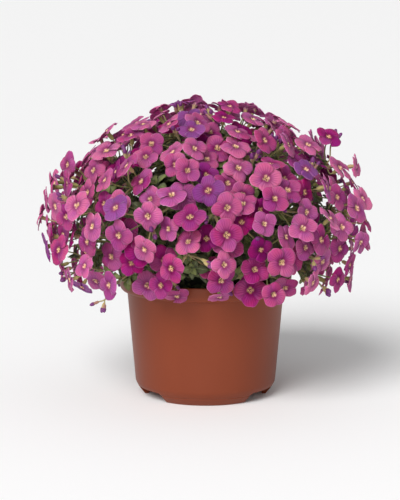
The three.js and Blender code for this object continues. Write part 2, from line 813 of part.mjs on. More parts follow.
function coreSolid() {
  const points = [vec(0, 0, CORE_BOTTOM), vec(0, 0, CORE_TOP)];
  const triangles = [];
  const n = CORE_SIDES;
  CORE.forEach(([r, z], ring) => {
    for (let k = 0; k < n; k++) {
      const angle = ((k + (ring % 2) / 2) * 2 * Math.PI) / n;
      const bulge = 1 + 0.05 * Math.sin(3 * angle + ring) + 0.04 * Math.sin(5 * angle + 2 * ring);
      points.push(vec(r * bulge * Math.cos(angle), r * bulge * Math.sin(angle), z));
    }
  });
  const at = (ring, k) => 2 + ring * n + (k % n);
  for (let k = 0; k < n; k++) {
    triangles.push([0, at(0, k + 1), at(0, k)], [1, at(CORE.length - 1, k), at(CORE.length - 1, k + 1)]);
    for (let ring = 0; ring < CORE.length - 1; ring++) {
      const odd = ring % 2;
      const [a, b, c, d] = [at(ring, k), at(ring, k + 1), at(ring + 1, k), at(ring + 1, k + 1)];
      if (odd) {
        triangles.push([a, b, d], [a, d, c]);
      } else {
        triangles.push([a, b, c], [b, d, c]);
      }
    }
  }
  return solidFrom(points, triangles);
}

function foliageSolid({ stems, onCore }) {
  const crownFoot = vec(0, 0, CROWN_HOLE_FLOOR + GAP);
  const crown = bar(crownFoot, vec(0, 0, CORE_BOTTOM + 8), CROWN_RADIUS, CROWN_RADIUS, CROWN_SIDES);
  const [a, b, c] = FRONT_STEM.map((p) => vec(...p));
  const lean = c.clone().sub(b).normalize();
  const bend = b.clone().addScaledVector(lean, -1);
  const front = [bar(a, b, STEM_RADIUS, STEM_RADIUS), bar(bend, c, STEM_RADIUS, 1)];
  const endLeaf = { base: c.clone().addScaledVector(lean, -2), facing: vec(0.1, -0.9, 0.4) };
  endLeaf.along = vec(...FRONT_LEAF).sub(endLeaf.base);
  endLeaf.length = endLeaf.along.length();
  endLeaf.along.normalize();
  endLeaf.facing.addScaledVector(endLeaf.along, -endLeaf.facing.dot(endLeaf.along)).normalize();
  return wasm.Manifold.union([
    coreSolid(),
    crown,
    ...stems.map(stemSolid),
    ...front,
    leafSolid(endLeaf),
    ...onCore.map(leafSolid),
  ]).simplify(JOIN_TOLERANCE);
}

const potPlastic = new THREE.MeshStandardMaterial({ color: 0x9a4f38, roughness: 0.45, metalness: 0 });
const compost = new THREE.MeshStandardMaterial({ color: 0x2b1f18, roughness: 0.95, metalness: 0 });
const leafGreen = new THREE.MeshStandardMaterial({ color: 0x5f7545, roughness: 0.8, metalness: 0 });
const petal = new THREE.MeshStandardMaterial({ color: 0xb0438c, roughness: 0.6, metalness: 0 });

const plant = new THREE.Group();

function add(name, solid, material) {
  const mesh = new THREE.Mesh(geometryOf(solid), material);
  mesh.name = name;
  plant.add(mesh);
}

const hubs = placeHubs();
const bars = barsOf(hubs);
const blooms = placeBlooms(hubs, bars);
const greens = placeLeaves(hubs, blooms, bars);

add("pot", makePot(), potPlastic);
add("soil", makeSoil(), compost);
add("foliage", foliageSolid(greens), leafGreen);
hubs
  .filter((hub) => hub.ports.some((port) => port.bloom))
  .forEach((hub, i) => add(`bloom_head_${String(i + 1).padStart(2, "0")}`, headSolid(hub), petal));

export default plant;
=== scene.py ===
"""A potted aubrieta in full bloom: petals, throats, calyces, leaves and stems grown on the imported
frame's own heads and foliage, in a smooth moulded pot. Metres, +Z up, the front faces -Y."""

import math

import bpy
import bmesh
import numpy as np
from mathutils import Matrix, Vector


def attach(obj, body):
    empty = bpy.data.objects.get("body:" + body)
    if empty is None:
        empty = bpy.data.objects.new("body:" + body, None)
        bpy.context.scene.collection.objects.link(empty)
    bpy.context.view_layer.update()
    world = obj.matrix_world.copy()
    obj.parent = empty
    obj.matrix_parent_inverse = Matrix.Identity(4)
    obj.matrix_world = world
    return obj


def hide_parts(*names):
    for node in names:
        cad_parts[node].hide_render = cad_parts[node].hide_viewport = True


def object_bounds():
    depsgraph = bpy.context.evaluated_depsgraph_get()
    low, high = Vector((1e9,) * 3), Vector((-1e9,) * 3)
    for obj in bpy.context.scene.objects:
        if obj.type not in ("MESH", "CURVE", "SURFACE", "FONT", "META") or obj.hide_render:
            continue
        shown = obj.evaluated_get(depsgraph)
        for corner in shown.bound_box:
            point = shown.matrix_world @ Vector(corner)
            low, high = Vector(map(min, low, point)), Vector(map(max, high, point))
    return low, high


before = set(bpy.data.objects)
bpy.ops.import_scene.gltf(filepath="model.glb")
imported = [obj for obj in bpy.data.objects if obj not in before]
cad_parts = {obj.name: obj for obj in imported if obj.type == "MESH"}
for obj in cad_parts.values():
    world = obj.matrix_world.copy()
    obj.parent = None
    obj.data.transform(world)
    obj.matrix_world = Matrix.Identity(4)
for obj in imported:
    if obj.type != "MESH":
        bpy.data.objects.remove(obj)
cad_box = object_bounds()

# Lengths below are in millimetres
MM = 0.001
PAGE_HEIGHT = 500

# What the frame's heads and leaves are drawn by
KNOT_PORTS = 9
NECK_DROP = 2.0
COLLAR_RADIUS = 1.25
STEM_HEART = np.array([0.0, 0.0, 100.0])
STEM_START = 0.35
PLATE_START, PLATE_RISE, PLATE_END, PLATE_FALL = 0.48, 0.05, 1.0, -0.04
PLATE_RATIO = 0.4902
PLATE_SLOPES = (4.9, 9.6)

# Pot
POT_HEIGHT = 84.0
RIM_RADIUS = 60.0
RIM_BAND = 10.2
POT_WALL = 1.6
BODY_TOP_RADIUS = 54.6
BODY_FOOT_RADIUS = 48.9
CHINE_HEIGHT, CHINE_RADIUS = 5.4, 46.6
FOOT_RADIUS, FOOT_WIDTH = 42.4, 2.6
FLOOR_UNDER, FLOOR_TOP = 7.4, 9.2
NOTCH_COUNT, NOTCH_WIDTH, NOTCH_HEIGHT, NOTCH_LENGTH = 3, 31.0, 7.0, 24.0
NOTCH_ROUNDING, NOTCH_SHIFT = 1.6, 3.0
GROOVE_DEPTH = 0.35
DRAIN_RADIUS, DRAIN_CIRCLE = 4.5, 29.0
POT_FACETS = 144
SOIL_TOP, SOIL_EDGE = 73.5, 71.5
SOIL_FLAT, SOIL_RADIUS = 34.0, 52.0
CRUMB_COUNT, CRUMB_REACH, CRUMB_FORMS = 320, 51.0, 4

# Bloom
BLOOM_RADIUS = 10.0
PETAL_HALF_WIDTH = 5.4
PETAL_SHOULDER = 5.3
CLAW_START, CLAW_HALF_WIDTH = 0.6, 0.55
PETAL_THICKNESS = 0.2
PETAL_ROWS, PETAL_COLS = 10, 9
PETAL_OVERLAP = 0.1
PETAL_FORMS = 16
CALYX_LENGTH, CALYX_RADIUS = 6.6, 1.35
CALYX_HAIRS = 12
STALK_RADIUS = 0.45

# Leaves; an outline has half widths for places along a leaf, both as shares of its length
LEAF_THICKNESS = 0.3
LEAF_FORMS = 6
TOOTHED = [
    (0.0, 0.05), (0.2, 0.07), (0.38, 0.14), (0.52, 0.26), (0.6, 0.33), (0.655, 0.27),
    (0.74, 0.34), (0.79, 0.25), (0.86, 0.22), (0.93, 0.13), (1.0, 0.015),
]
NOTCHED = [(0.0, 0.05), (0.34, 0.12), (0.58, 0.31), (0.7, 0.27), (0.85, 0.2), (1.0, 0.02)]
PLAIN = [(0.0, 0.05), (0.38, 0.14), (0.6, 0.32), (0.82, 0.22), (1.0, 0.02)]

# How far a blade's underside is moved along its UV map, so that its finish can tell it from the top
UNDERSIDE_SHIFT = 2.0

# The green core inside the mound, as radii and heights, and the leafy stem in the front gap
CORE = [(30, 77.5), (43, 88), (49, 98), (51, 114), (52, 130), (46, 145), (32, 155), (16, 160)]
CORE_SHRINK, CORE_MIDDLE = 4.0, 112.0
FRONT_STEM = [np.array(point, dtype=float) for point in ((12, -36, 92), (16, -64, 91), (42, -73, 107))]

rng = np.random.default_rng(76)


def unit(v):
    """A vector's direction, with a length of one."""
    return v / np.linalg.norm(v)


def across_of(axis):
    """A level way at right angles to an axis, or any such way for an upright axis."""
    side = np.array([0.0, 0.0, 1.0]) if abs(axis[2]) < 0.9 else np.array([1.0, 0.0, 0.0])
    return unit(np.cross(side, axis))


def linear(colour):
    """An sRGB hex colour as linear red, green and blue, with full alpha."""
    parts = [int(colour[i:i + 2], 16) / 255 for i in (1, 3, 5)]
    return [p / 12.92 if p <= 0.04045 else ((p + 0.055) / 1.055) ** 2.4 for p in parts] + [1.0]


def add_node(tree, kind, settings=None, inputs=(), output=0):
    """Adds a node with its settings, sets or links its inputs by name or in order, and gives an output."""
    node = tree.nodes.new(kind)
    for name, value in (settings or {}).items():
        setattr(node, name, value)
    for name, value in inputs.items() if isinstance(inputs, dict) else enumerate(inputs):
        if isinstance(value, bpy.types.NodeSocket):
            tree.links.new(value, node.inputs[name])
        else:
            node.inputs[name].default_value = value
    return node.outputs[output] if node.outputs else None


# Reading the frame

def corners_of(node):
    """A CAD node's corners, each once, in millimetres, and its triangles."""
    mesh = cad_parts[node].data
    mesh.calc_loop_triangles()
    points = np.empty(3 * len(mesh.vertices))
    mesh.vertices.foreach_get("co", points)
    triangles = np.empty(3 * len(mesh.loop_triangles), dtype=np.int32)
    mesh.loop_triangles.foreach_get("vertices", triangles)
    points = np.round(points.reshape(-1, 3) / MM, 3)
    corners, index = np.unique(points, axis=0, return_inverse=True)
    return corners, index.reshape(-1)[triangles.reshape(-1, 3)]


def fans_of(corners, triangles):
    """For each corner, the pairs of corners that close a triangle with it."""
    fans = [[] for _ in corners]
    for a, b, c in triangles.tolist():
        fans[a].append((b, c))
        fans[b].append((c, a))
        fans[c].append((a, b))
    return fans


def head_of(node):
    """A head as the frame has it: its knot, the way it aims, and its blooms with their petals."""
    corners, triangles = corners_of(node)
    fans = fans_of(corners, triangles)
    head = {"node": node, "blooms": []}
    for i, fan in enumerate(fans):
        rim = list({k for pair in fan for k in pair})
        reach = np.linalg.norm(corners[rim] - corners[i], axis=1)
        if len(fan) == KNOT_PORTS == len(rim) and np.ptp(reach) < 0.02:
            head["at"] = corners[i]
            head["aim"] = unit(corners[rim].mean(axis=0) - corners[i])
        order = np.argsort(reach)
        if len(fan) == 12 and len(rim) == 12 and reach[order[3]] < 0.6 * reach[order[4]]:
            head["blooms"].append(bloom_at(i, [rim[k] for k in order[:4]], corners, fans))
    return head


def bloom_at(eye, notches, corners, fans):
    """A bloom from the corner at its eye: its middle, its facing, its petals and its stalk's foot."""
    centre = corners[notches].mean(axis=0)
    facing = unit(centre - corners[eye])
    petals = []
    for a, b in fans[eye]:
        if a not in notches and b not in notches:
            middle = (corners[a] + corners[b]) / 2 - centre
            lift = middle @ facing
            petals.append((unit(middle - lift * facing), lift))
            tip = corners[a] - centre
            radius = np.linalg.norm(tip - (tip @ facing) * facing)
    offset = corners - centre
    height = offset @ facing
    wide = np.linalg.norm(offset - height[:, None] * facing, axis=1)
    collar = np.flatnonzero((abs(height + NECK_DROP) < 0.02) & (abs(wide - COLLAR_RADIUS) < 0.02))
    foot = {k for c in collar for pair in fans[c] for k in pair if height[k] < -1.5 * NECK_DROP}
    return {
        "centre": centre,
        "facing": facing,
        "radius": radius,
        "petals": petals,
        "root": corners[list(foot)].mean(axis=0),
    }


def leaves_of(node):
    """The leaves in the frame's foliage, found by the long triangle in the middle of each blade."""
    corners, triangles = corners_of(node)
    across = {}
    for a, b, c in triangles.tolist():
        across[a, b], across[b, c], across[c, a] = c, a, b
    rise, run = PLATE_FALL - PLATE_RISE, PLATE_END - PLATE_START
    slope = math.hypot(rise, run)
    leaves = []
    for (a, b), c in across.items():
        left, tip, right = corners[a], corners[b], corners[c]
        near, far = np.linalg.norm(tip - left), np.linalg.norm(tip - right)
        if not PLATE_SLOPES[0] < near < PLATE_SLOPES[1] or abs(near - far) > 0.05:
            continue
        if abs(np.linalg.norm(right - left) / near - PLATE_RATIO) > 0.004:
            continue
        normal = unit(np.cross(tip - left, right - left))
        tooth = across.get((b, a))
        if tooth is None or (corners[tooth] - left) @ normal < 0:
            continue
        middle = (left + right) / 2
        down = unit(tip - middle)
        along = (run * down - rise * normal) / slope
        facing = (rise * down + run * normal) / slope
        length = np.linalg.norm(tip - middle) / slope
        base = middle - length * (PLATE_START * along + PLATE_RISE * facing)
        leaves.append({"base": base, "along": along, "facing": facing, "length": length})
    return leaves


head_nodes = sorted(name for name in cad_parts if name.startswith("bloom_head"))
heads = [head_of(name) for name in head_nodes]
frame_leaves = leaves_of("foliage")


# Meshes

def mesh_from(name, points, faces, uvs=None):
    """A mesh from points in millimetres, with smooth faces that point out."""
    mesh = bpy.data.meshes.new(name)
    mesh.from_pydata((np.asarray(points) * MM).tolist(), [], [list(map(int, face)) for face in faces])
    if uvs is not None:
        corner_of = np.empty(len(mesh.loops), dtype=np.int32)
        mesh.loops.foreach_get("vertex_index", corner_of)
        mesh.uv_layers.new(name="UVMap").data.foreach_set("uv", np.asarray(uvs)[corner_of].ravel())
    shape = bmesh.new()
    shape.from_mesh(mesh)
    bmesh.ops.recalc_face_normals(shape, faces=shape.faces)
    shape.to_mesh(mesh)
    shape.free()
    mesh.shade_smooth()
    return mesh


def object_from(name, mesh):
    """An object in the scene, at the origin, that holds a mesh."""
    made = bpy.data.objects.new(name, mesh)
    bpy.context.scene.collection.objects.link(made)
    return made


def blade(name, grid, thickness, uv):
    """A closed thin blade from a grid of points: its top, its underside and the edge between."""
    rows, cols = grid.shape[:2]
    along, over = np.gradient(grid, axis=0), np.gradient(grid, axis=1)
    normal = np.cross(along, over)
    normal /= np.linalg.norm(normal, axis=2, keepdims=True) + 1e-9
    points = np.concatenate([grid.reshape(-1, 3), (grid - normal * thickness).reshape(-1, 3)])
    index = np.arange(rows * cols).reshape(rows, cols)
    quads = np.stack([index[:-1, :-1], index[1:, :-1], index[1:, 1:], index[:-1, 1:]], axis=-1)
    quads = quads.reshape(-1, 4)
    under = quads[:, ::-1] + rows * cols
    border = [*index[0], *index[1:, -1], *index[-1, -2::-1], *index[-2:0:-1, 0]]
    edge = [[a, b, b + rows * cols, a + rows * cols] for a, b in zip(border, border[1:] + border[:1])]
    flat = uv.reshape(-1, 2)
    both = np.concatenate([flat, flat + (UNDERSIDE_SHIFT, 0)])
    return mesh_from(name, points, [*quads, *under, *edge], both)


def forms(name, meshes):
    """A collection of forms, one object for each mesh, that instances pick from by number."""
    collection = bpy.data.collections.new(name)
    for i, mesh in enumerate(meshes):
        collection.objects.link(bpy.data.objects.new(f"{name}_{i:02d}", mesh))
    return collection


def smoothstep(t):
    """A smooth rise from 0 to 1 while t goes from 0 to 1."""
    t = np.clip(t, 0, 1)
    return t * t * (3 - 2 * t)


def petal_form(name, seed):
    """A round petal on a narrow claw, 10 mm from the bloom's middle to its tip, along +X and facing +Z."""
    draw = np.random.default_rng(seed)
    u = np.linspace(0, 1, PETAL_ROWS)[:, None] ** 0.9 + np.zeros(PETAL_COLS)[None, :]
    v = np.linspace(-1, 1, PETAL_COLS)[None, :] + 0 * u
    broad = draw.uniform(0.9, 1.1)
    shoulder = PETAL_SHOULDER * draw.uniform(0.94, 1.06)
    middle = CLAW_START + (BLOOM_RADIUS - CLAW_START) * u
    side = CLAW_START + (shoulder - CLAW_START) * u ** 1.1
    x = middle - (middle - side) * abs(v) ** draw.uniform(2.3, 2.9)
    swell = smoothstep(u / 0.9) ** 0.72
    y = v * (CLAW_HALF_WIDTH + (PETAL_HALF_WIDTH * broad - CLAW_HALF_WIDTH) * swell)
    phase = draw.uniform(0, 6.3, 4)
    dent = draw.uniform(0.0, 0.55) * np.exp(-((v - draw.uniform(-0.12, 0.12)) / 0.26) ** 2) * u ** 7
    ragged = 0.12 * np.sin(4.1 * v + phase[0]) + 0.05 * np.sin(9.3 * v + phase[1])
    x = x - dent + ragged * u ** 4 + draw.uniform(-0.5, 0.5) * v * u ** 2
    dip = -2.0 * (1 - smoothstep(u / 0.15))
    arch = draw.uniform(0.3, 1.1) * np.sin(np.pi * u ** 0.8) - draw.uniform(-0.5, 1.1) * u ** 2.6
    fold = draw.uniform(-0.5, 0.55) * (abs(v) - 0.45) * u ** 1.2
    groove = -0.16 * np.exp(-(v / 0.16) ** 2) * np.sin(np.pi * np.clip(u * 1.1, 0, 1))
    curl = draw.uniform(-1.1, 0.3) * smoothstep((abs(v) - 0.6) / 0.5) * smoothstep((u - 0.25) / 0.7)
    lip = draw.uniform(-0.9, 0.25) * smoothstep((u - 0.78) / 0.22)
    beats = draw.uniform(4.0, 6.5)
    ruffle = 0.2 * np.sin(beats * v + phase[2]) * smoothstep((u - 0.3) / 0.7)
    crinkle = 0.06 * np.sin(11 * v + 5 * u + phase[3]) * u
    z = dip + arch + fold + groove + curl + lip + ruffle + crinkle
    return blade(name, np.stack([x, y, z], axis=-1), PETAL_THICKNESS, np.stack([u, (v + 1) / 2], axis=-1))


def leaf_form(name, seed, outline, cols):
    """A spoon-shaped leaf, 10 mm long, along +X and facing +Z, with the teeth that its outline has."""
    draw = np.random.default_rng(seed)
    where = np.array([u for u, _ in outline])
    width = np.array([w for _, w in outline]) * draw.uniform(0.85, 1.15)
    u = where[:, None] + np.zeros(cols)[None, :]
    v = np.linspace(-1, 1, cols)[None, :] + 0 * u
    x = 10 * (u - 0.03 * abs(v) * np.sin(np.pi * u))
    y = 10 * width[:, None] * v
    fold = draw.uniform(0.5, 1.3) * abs(v) * np.sin(np.pi * u ** 0.8)
    arch = draw.uniform(0.4, 1.6) * np.sin(np.pi * u * 0.9) - draw.uniform(0.2, 1.8) * u ** 3
    twist = draw.uniform(-0.5, 0.5) * v * u
    z = fold + arch + twist + 0.12 * np.sin(9 * u + 3 * v)
    uv = np.stack([u, (v + 1) / 2], axis=-1)
    return blade(name, np.stack([x, y, z], axis=-1), LEAF_THICKNESS, uv)


def lathe(name, rings, sides, wobble=lambda angle, share: 1.0):
    """A closed turned form from (radius, height) rings; the first and last rings close on the axis."""
    points, faces = [], []
    angles = np.arange(sides) * 2 * np.pi / sides
    for i, (r, z) in enumerate(rings):
        wide = r * np.array([wobble(a, i / (len(rings) - 1)) for a in angles])
        points += [(w * math.cos(a), w * math.sin(a), z) for w, a in zip(wide, angles)]
    for i in range(len(rings) - 1):
        for k in range(sides):
            n = (k + 1) % sides
            faces.append([i * sides + k, i * sides + n, (i + 1) * sides + n, (i + 1) * sides + k])
    faces.append(list(range(sides))[::-1])
    faces.append(list(range((len(rings) - 1) * sides, len(rings) * sides)))
    return mesh_from(name, points, faces)


def add_hairs(mesh, hairs, width):
    """Thin three-sided hairs on a mesh, each from a foot to a tip in millimetres."""
    shape = bmesh.new()
    shape.from_mesh(mesh)
    for foot, tip in hairs:
        way = unit(tip - foot)
        side = across_of(way)
        other = np.cross(way, side)
        ring = [foot + width * (math.cos(a) * side + math.sin(a) * other) for a in (0.0, 2.1, 4.2)]
        ends = [shape.verts.new(tuple(point * MM)) for point in (*ring, tip)]
        for a, b, c in ((0, 2, 1), (0, 1, 3), (1, 2, 3), (2, 0, 3)):
            shape.faces.new([ends[a], ends[b], ends[c]])
    bmesh.ops.recalc_face_normals(shape, faces=shape.faces)
    shape.to_mesh(mesh)
    shape.free()


def calyx_form(name, seed):
    """Four upright sepals round the tube of a bloom that faces +Z; its middle is the origin."""
    draw = np.random.default_rng(seed)
    swell = draw.uniform(0.9, 1.12)
    length = CALYX_LENGTH

    def ribs(angle, share):
        return 1 + 0.16 * math.cos(4 * angle) * (0.3 + 0.7 * share)

    rings = [
        (0.35, -length), (0.9 * swell, -length + 0.35), (1.2 * swell, -length + 1.2),
        (CALYX_RADIUS * swell, -length * 0.55), (1.2, -length * 0.32), (1.42, -1.5), (1.7, -0.75),
        (1.3, -0.85), (1.0, -1.6), (0.5, -2.0),
    ]
    mesh = lathe(name, rings, 8, ribs)
    for corner in mesh.vertices:
        x, y, z = corner.co / MM
        if z > -1.2:
            corner.co.z += 0.55 * math.cos(4 * math.atan2(y, x)) * MM
    hairs = []
    for angle, share in zip(draw.uniform(0, 2 * np.pi, CALYX_HAIRS), draw.uniform(0.12, 0.8, CALYX_HAIRS)):
        out = np.array([math.cos(angle), math.sin(angle), 0.0])
        foot = out * 1.05 * swell + (0, 0, -length * share)
        hairs.append((foot, foot + out * draw.uniform(0.7, 1.1) + (0, 0, draw.uniform(0.1, 0.6))))
    add_hairs(mesh, hairs, 0.06)
    return mesh


def anther_form(name, seed):
    """Six anthers round a stigma, in the throat of a bloom that faces +Z."""
    draw = np.random.default_rng(seed)
    points, faces = [], []
    for i in range(7):
        angle = (i + draw.uniform(-0.25, 0.25)) * np.pi / 3
        out = 0.0 if i == 6 else 1.0 + draw.uniform(-0.2, 0.2)
        middle = np.array([out * math.cos(angle), out * math.sin(angle), draw.uniform(-0.2, 0.45)])
        lean = unit(np.array([math.cos(angle) * 0.5, math.sin(angle) * 0.5, 1.0]))
        side = unit(np.cross(lean, [0.3, 0.2, 1.0]))
        other = np.cross(lean, side)
        first = len(points)
        points.append(middle - 0.62 * lean)
        for h, r in ((-0.25, 0.27), (0.15, 0.33)):
            for k in range(4):
                a = k * np.pi / 2
                points.append(middle + h * lean + r * (math.cos(a) * side + math.sin(a) * other))
        points.append(middle + 0.5 * lean)
        for k in range(4):
            n = (k + 1) % 4
            faces.append([first, first + 1 + n, first + 1 + k])
            faces.append([first + 1 + k, first + 1 + n, first + 5 + n, first + 5 + k])
            faces.append([first + 9, first + 5 + k, first + 5 + n])
    return mesh_from(name, points, faces)


def throat_form(name):
    """The dark cup inside the claws of a bloom that faces +Z."""
    rings = [(0.3, -2.6), (0.9, -2.2), (0.95, -1.3), (0.92, -0.85), (0.78, -0.8), (0.65, -1.2), (0.2, -1.6)]
    return lathe(name, rings, 8)


def crumb_form(name, seed):
    """A rough crumb of compost, 1 mm across."""
    draw = np.random.default_rng(seed)
    mesh = bpy.data.meshes.new(name)
    shape = bmesh.new()
    bmesh.ops.create_icosphere(shape, subdivisions=1, radius=0.5 * MM)
    for corner in shape.verts:
        corner.co *= draw.uniform(0.7, 1.3)
    shape.to_mesh(mesh)
    shape.free()
    return mesh


def bud_form(name, seed):
    """A rolled bud in its calyx, pointing along +Z, with its foot at the origin."""
    draw = np.random.default_rng(seed)
    twist = draw.uniform(1.5, 3.0)

    def ribs(angle, share):
        return 1 + 0.12 * math.cos(4 * (angle + twist * share))

    rings = [(0.2, 4.6), (1.0, 5.0), (1.45, 6.2), (1.6, 7.4), (1.3, 8.8), (0.8, 9.7), (0.15, 10.2)]
    return lathe(name, rings, 12, ribs)


# Geometry Nodes trees

def new_tree(name, inputs):
    """An empty tree with named inputs and one geometry output."""
    tree = bpy.data.node_groups.new(name, "GeometryNodeTree")
    for label, kind in inputs:
        tree.interface.new_socket(label, in_out="INPUT", socket_type=kind)
    tree.interface.new_socket("Geometry", in_out="OUTPUT", socket_type="NodeSocketGeometry")
    return tree


def scatter_tree():
    """One form on each point, turned by "turn", stretched by "size" and picked by "pick"."""
    tree = new_tree("scatter", [
        ("Geometry", "NodeSocketGeometry"),
        ("Forms", "NodeSocketCollection"),
        ("Material", "NodeSocketMaterial"),
    ])
    given = tree.nodes.new("NodeGroupInput").outputs
    held = add_node(tree, "GeometryNodeCollectionInfo", inputs={
        "Collection": given["Forms"],
        "Separate Children": True,
        "Reset Children": True,
    })
    turn, size, pick = (
        add_node(tree, "GeometryNodeInputNamedAttribute", {"data_type": kind}, {"Name": name})
        for name, kind in (("turn", "QUATERNION"), ("size", "FLOAT_VECTOR"), ("pick", "INT"))
    )
    placed = add_node(tree, "GeometryNodeInstanceOnPoints", inputs={
        "Points": given["Geometry"],
        "Instance": held,
        "Pick Instance": True,
        "Instance Index": pick,
        "Rotation": turn,
        "Scale": size,
    })
    real = add_node(tree, "GeometryNodeRealizeInstances", inputs={"Geometry": placed})
    done = add_node(tree, "GeometryNodeSetMaterial", inputs={
        "Geometry": real,
        "Material": given["Material"],
    })
    add_node(tree, "NodeGroupOutput", inputs={"Geometry": done})
    return tree


def tube_tree():
    """A round stem along each line of edges, as wide at each point as its "radius" says."""
    tree = new_tree("tubes", [
        ("Geometry", "NodeSocketGeometry"),
        ("Sides", "NodeSocketInt"),
        ("Material", "NodeSocketMaterial"),
    ])
    given = tree.nodes.new("NodeGroupInput").outputs
    radius = add_node(tree, "GeometryNodeInputNamedAttribute", {"data_type": "FLOAT"}, {"Name": "radius"})
    curve = add_node(tree, "GeometryNodeMeshToCurve", inputs={"Mesh": given["Geometry"]})
    curve = add_node(tree, "GeometryNodeSetCurveRadius", inputs={"Curve": curve, "Radius": radius})
    ring = add_node(tree, "GeometryNodeCurvePrimitiveCircle", inputs={
        "Resolution": given["Sides"],
        "Radius": 1.0,
    })
    tube = add_node(tree, "GeometryNodeCurveToMesh", inputs={
        "Curve": curve,
        "Profile Curve": ring,
        "Scale": radius,
        "Fill Caps": True,
    })
    done = add_node(tree, "GeometryNodeSetMaterial", inputs={
        "Geometry": tube,
        "Material": given["Material"],
    })
    add_node(tree, "NodeGroupOutput", inputs={"Geometry": done})
    return tree


def grown(name, source, tree, inputs):
    """What a tree makes of a mesh, as a plain mesh in an object of its own."""
    holder = object_from(name, source)
    modifier = holder.modifiers.new("grow", "NODES")
    modifier.node_group = tree
    for item in tree.interface.items_tree:
        if item.name in inputs and item.in_out == "INPUT":
            modifier[item.identifier] = inputs[item.name]
    bpy.context.view_layer.update()
    graph = bpy.context.evaluated_depsgraph_get()
    mesh = bpy.data.meshes.new_from_object(holder.evaluated_get(graph), depsgraph=graph)
    bpy.data.objects.remove(holder)
    mesh.shade_smooth()
    for spare in ("turn", "size", "pick", "radius"):
        if spare in mesh.attributes:
            mesh.attributes.remove(mesh.attributes[spare])
    return object_from(name, mesh)


SCATTER = scatter_tree()
TUBES = tube_tree()


def quaternion(x_axis, z_axis):
    """The turn that lays a form's +X and +Z along two directions at right angles."""
    y_axis = np.cross(z_axis, x_axis)
    return Matrix(np.stack([x_axis, y_axis, z_axis], axis=1).tolist()).to_quaternion()


def scattered(name, places, collection, material):
    """Forms placed on points; a place is a dict of at, turn, size, pick, tint and shade."""
    points = bpy.data.meshes.new(name + "_points")
    points.from_pydata([tuple(p["at"] * MM) for p in places], [], [])
    fields = {
        "turn": ("QUATERNION", "value", [list(p["turn"]) for p in places]),
        "size": ("FLOAT_VECTOR", "vector", [list(p["size"]) for p in places]),
        "pick": ("INT", "value", [int(p["pick"]) for p in places]),
        "tint": ("FLOAT", "value", [p.get("tint", 0.5) for p in places]),
        "shade": ("FLOAT", "value", [p.get("shade", 0.5) for p in places]),
    }
    for field, (kind, key, values) in fields.items():
        layer = points.attributes.new(field, kind, "POINT")
        layer.data.foreach_set(key, np.asarray(values).ravel())
    return grown(name, points, SCATTER, {"Forms": collection, "Material": material})


def surfacing(path):
    """How far each point of a path has come out of the mound's shade, from about -0.5 to 0.2."""
    away = (np.asarray(path) - STEM_HEART) / (100, 92, 84)
    return np.interp(np.linalg.norm(away, axis=1), (0.5, 0.95), (-0.5, 0.2))


def tubes(name, lines, material, sides=7):
    """Stems along lines of points; a line is its points, its radii and its tint."""
    points, edges, radii, tints = [], [], [], []
    for path, wide, tint in lines:
        first = len(points)
        points += [tuple(p * MM) for p in path]
        edges += [(first + i, first + i + 1) for i in range(len(path) - 1)]
        radii += [w * MM for w in wide]
        # Painted shade: stalks and stems get a darker tint where they lie deep in the mound
        tints += list(np.clip(tint + surfacing(path), 0, 1))
    mesh = bpy.data.meshes.new(name + "_lines")
    mesh.from_pydata(points, edges, [])
    mesh.attributes.new("radius", "FLOAT", "POINT").data.foreach_set("value", radii)
    mesh.attributes.new("tint", "FLOAT", "POINT").data.foreach_set("value", tints)
    return grown(name, mesh, TUBES, {"Sides": sides, "Material": material})


def bent(start, start_way, end, end_way, steps):
    """A smooth path between two points that leaves and arrives along two ways."""
    reach = np.linalg.norm(end - start) * 0.4
    knots = [start, start + start_way * reach, end - end_way * reach, end]
    t = np.linspace(0, 1, steps)[:, None]
    shares = [(1 - t) ** 3, 3 * t * (1 - t) ** 2, 3 * t * t * (1 - t), t ** 3]
    return sum(share * knot for share, knot in zip(shares, knots))


# Materials

# The size of each pattern, from one lump to the next. Real down, grit and pollen are finer, and are
# drawn as coarse as they need to be to show.
PETAL_PATCH, PETAL_CLOUD, VEIN_BEND = 10.53, 6.25, 2.38
LEAF_DOWN, STEM_DOWN, STEM_MOTTLE = 0.385, 0.417, 3.85
POT_FLOW, POT_GRIT = 35.7, 1.11
THROAT_GRAIN, POLLEN_GRAIN, BUD_FOLD, TWIG_GAP, PEAT_CRUMB = 0.667, 0.333, 1.11, 2.5, 1.43

# How many veins a petal has side by side
VEINS, FINE_VEINS = 7.32, 16.55

ADD, SUBTRACT, MULTIPLY, MULTIPLY_ADD, MAXIMUM, ABSOLUTE = (
    {"operation": name} for name in ("ADD", "SUBTRACT", "MULTIPLY", "MULTIPLY_ADD", "MAXIMUM", "ABSOLUTE")
)
SMOOTH = {"interpolation_type": "SMOOTHSTEP"}


def per_metre(size):
    """A pattern's scale, from its size in millimetres."""
    return 1 / (size * MM)


def new_material(name, **sockets):
    """A material and its tree, with its shader's plain sockets set, and its Object coordinates."""
    material = bpy.data.materials.new(name)
    material.use_nodes = True
    tree = material.node_tree
    for socket, value in sockets.items():
        tree.nodes["Principled BSDF"].inputs[socket.replace("_", " ")].default_value = value
    return material, tree, add_node(tree, "ShaderNodeTexCoord", output="Object")


def surfaced(material, colour, relief, depth, strength):
    """The material with its colour, and with its relief as bumps of a depth in millimetres."""
    tree = material.node_tree
    shader = tree.nodes["Principled BSDF"]
    bumps = add_node(tree, "ShaderNodeBump", inputs={
        "Height": relief,
        "Distance": depth * MM,
        "Strength": strength,
    })
    tree.links.new(colour, shader.inputs["Base Color"])
    tree.links.new(bumps, shader.inputs["Normal"])
    return material


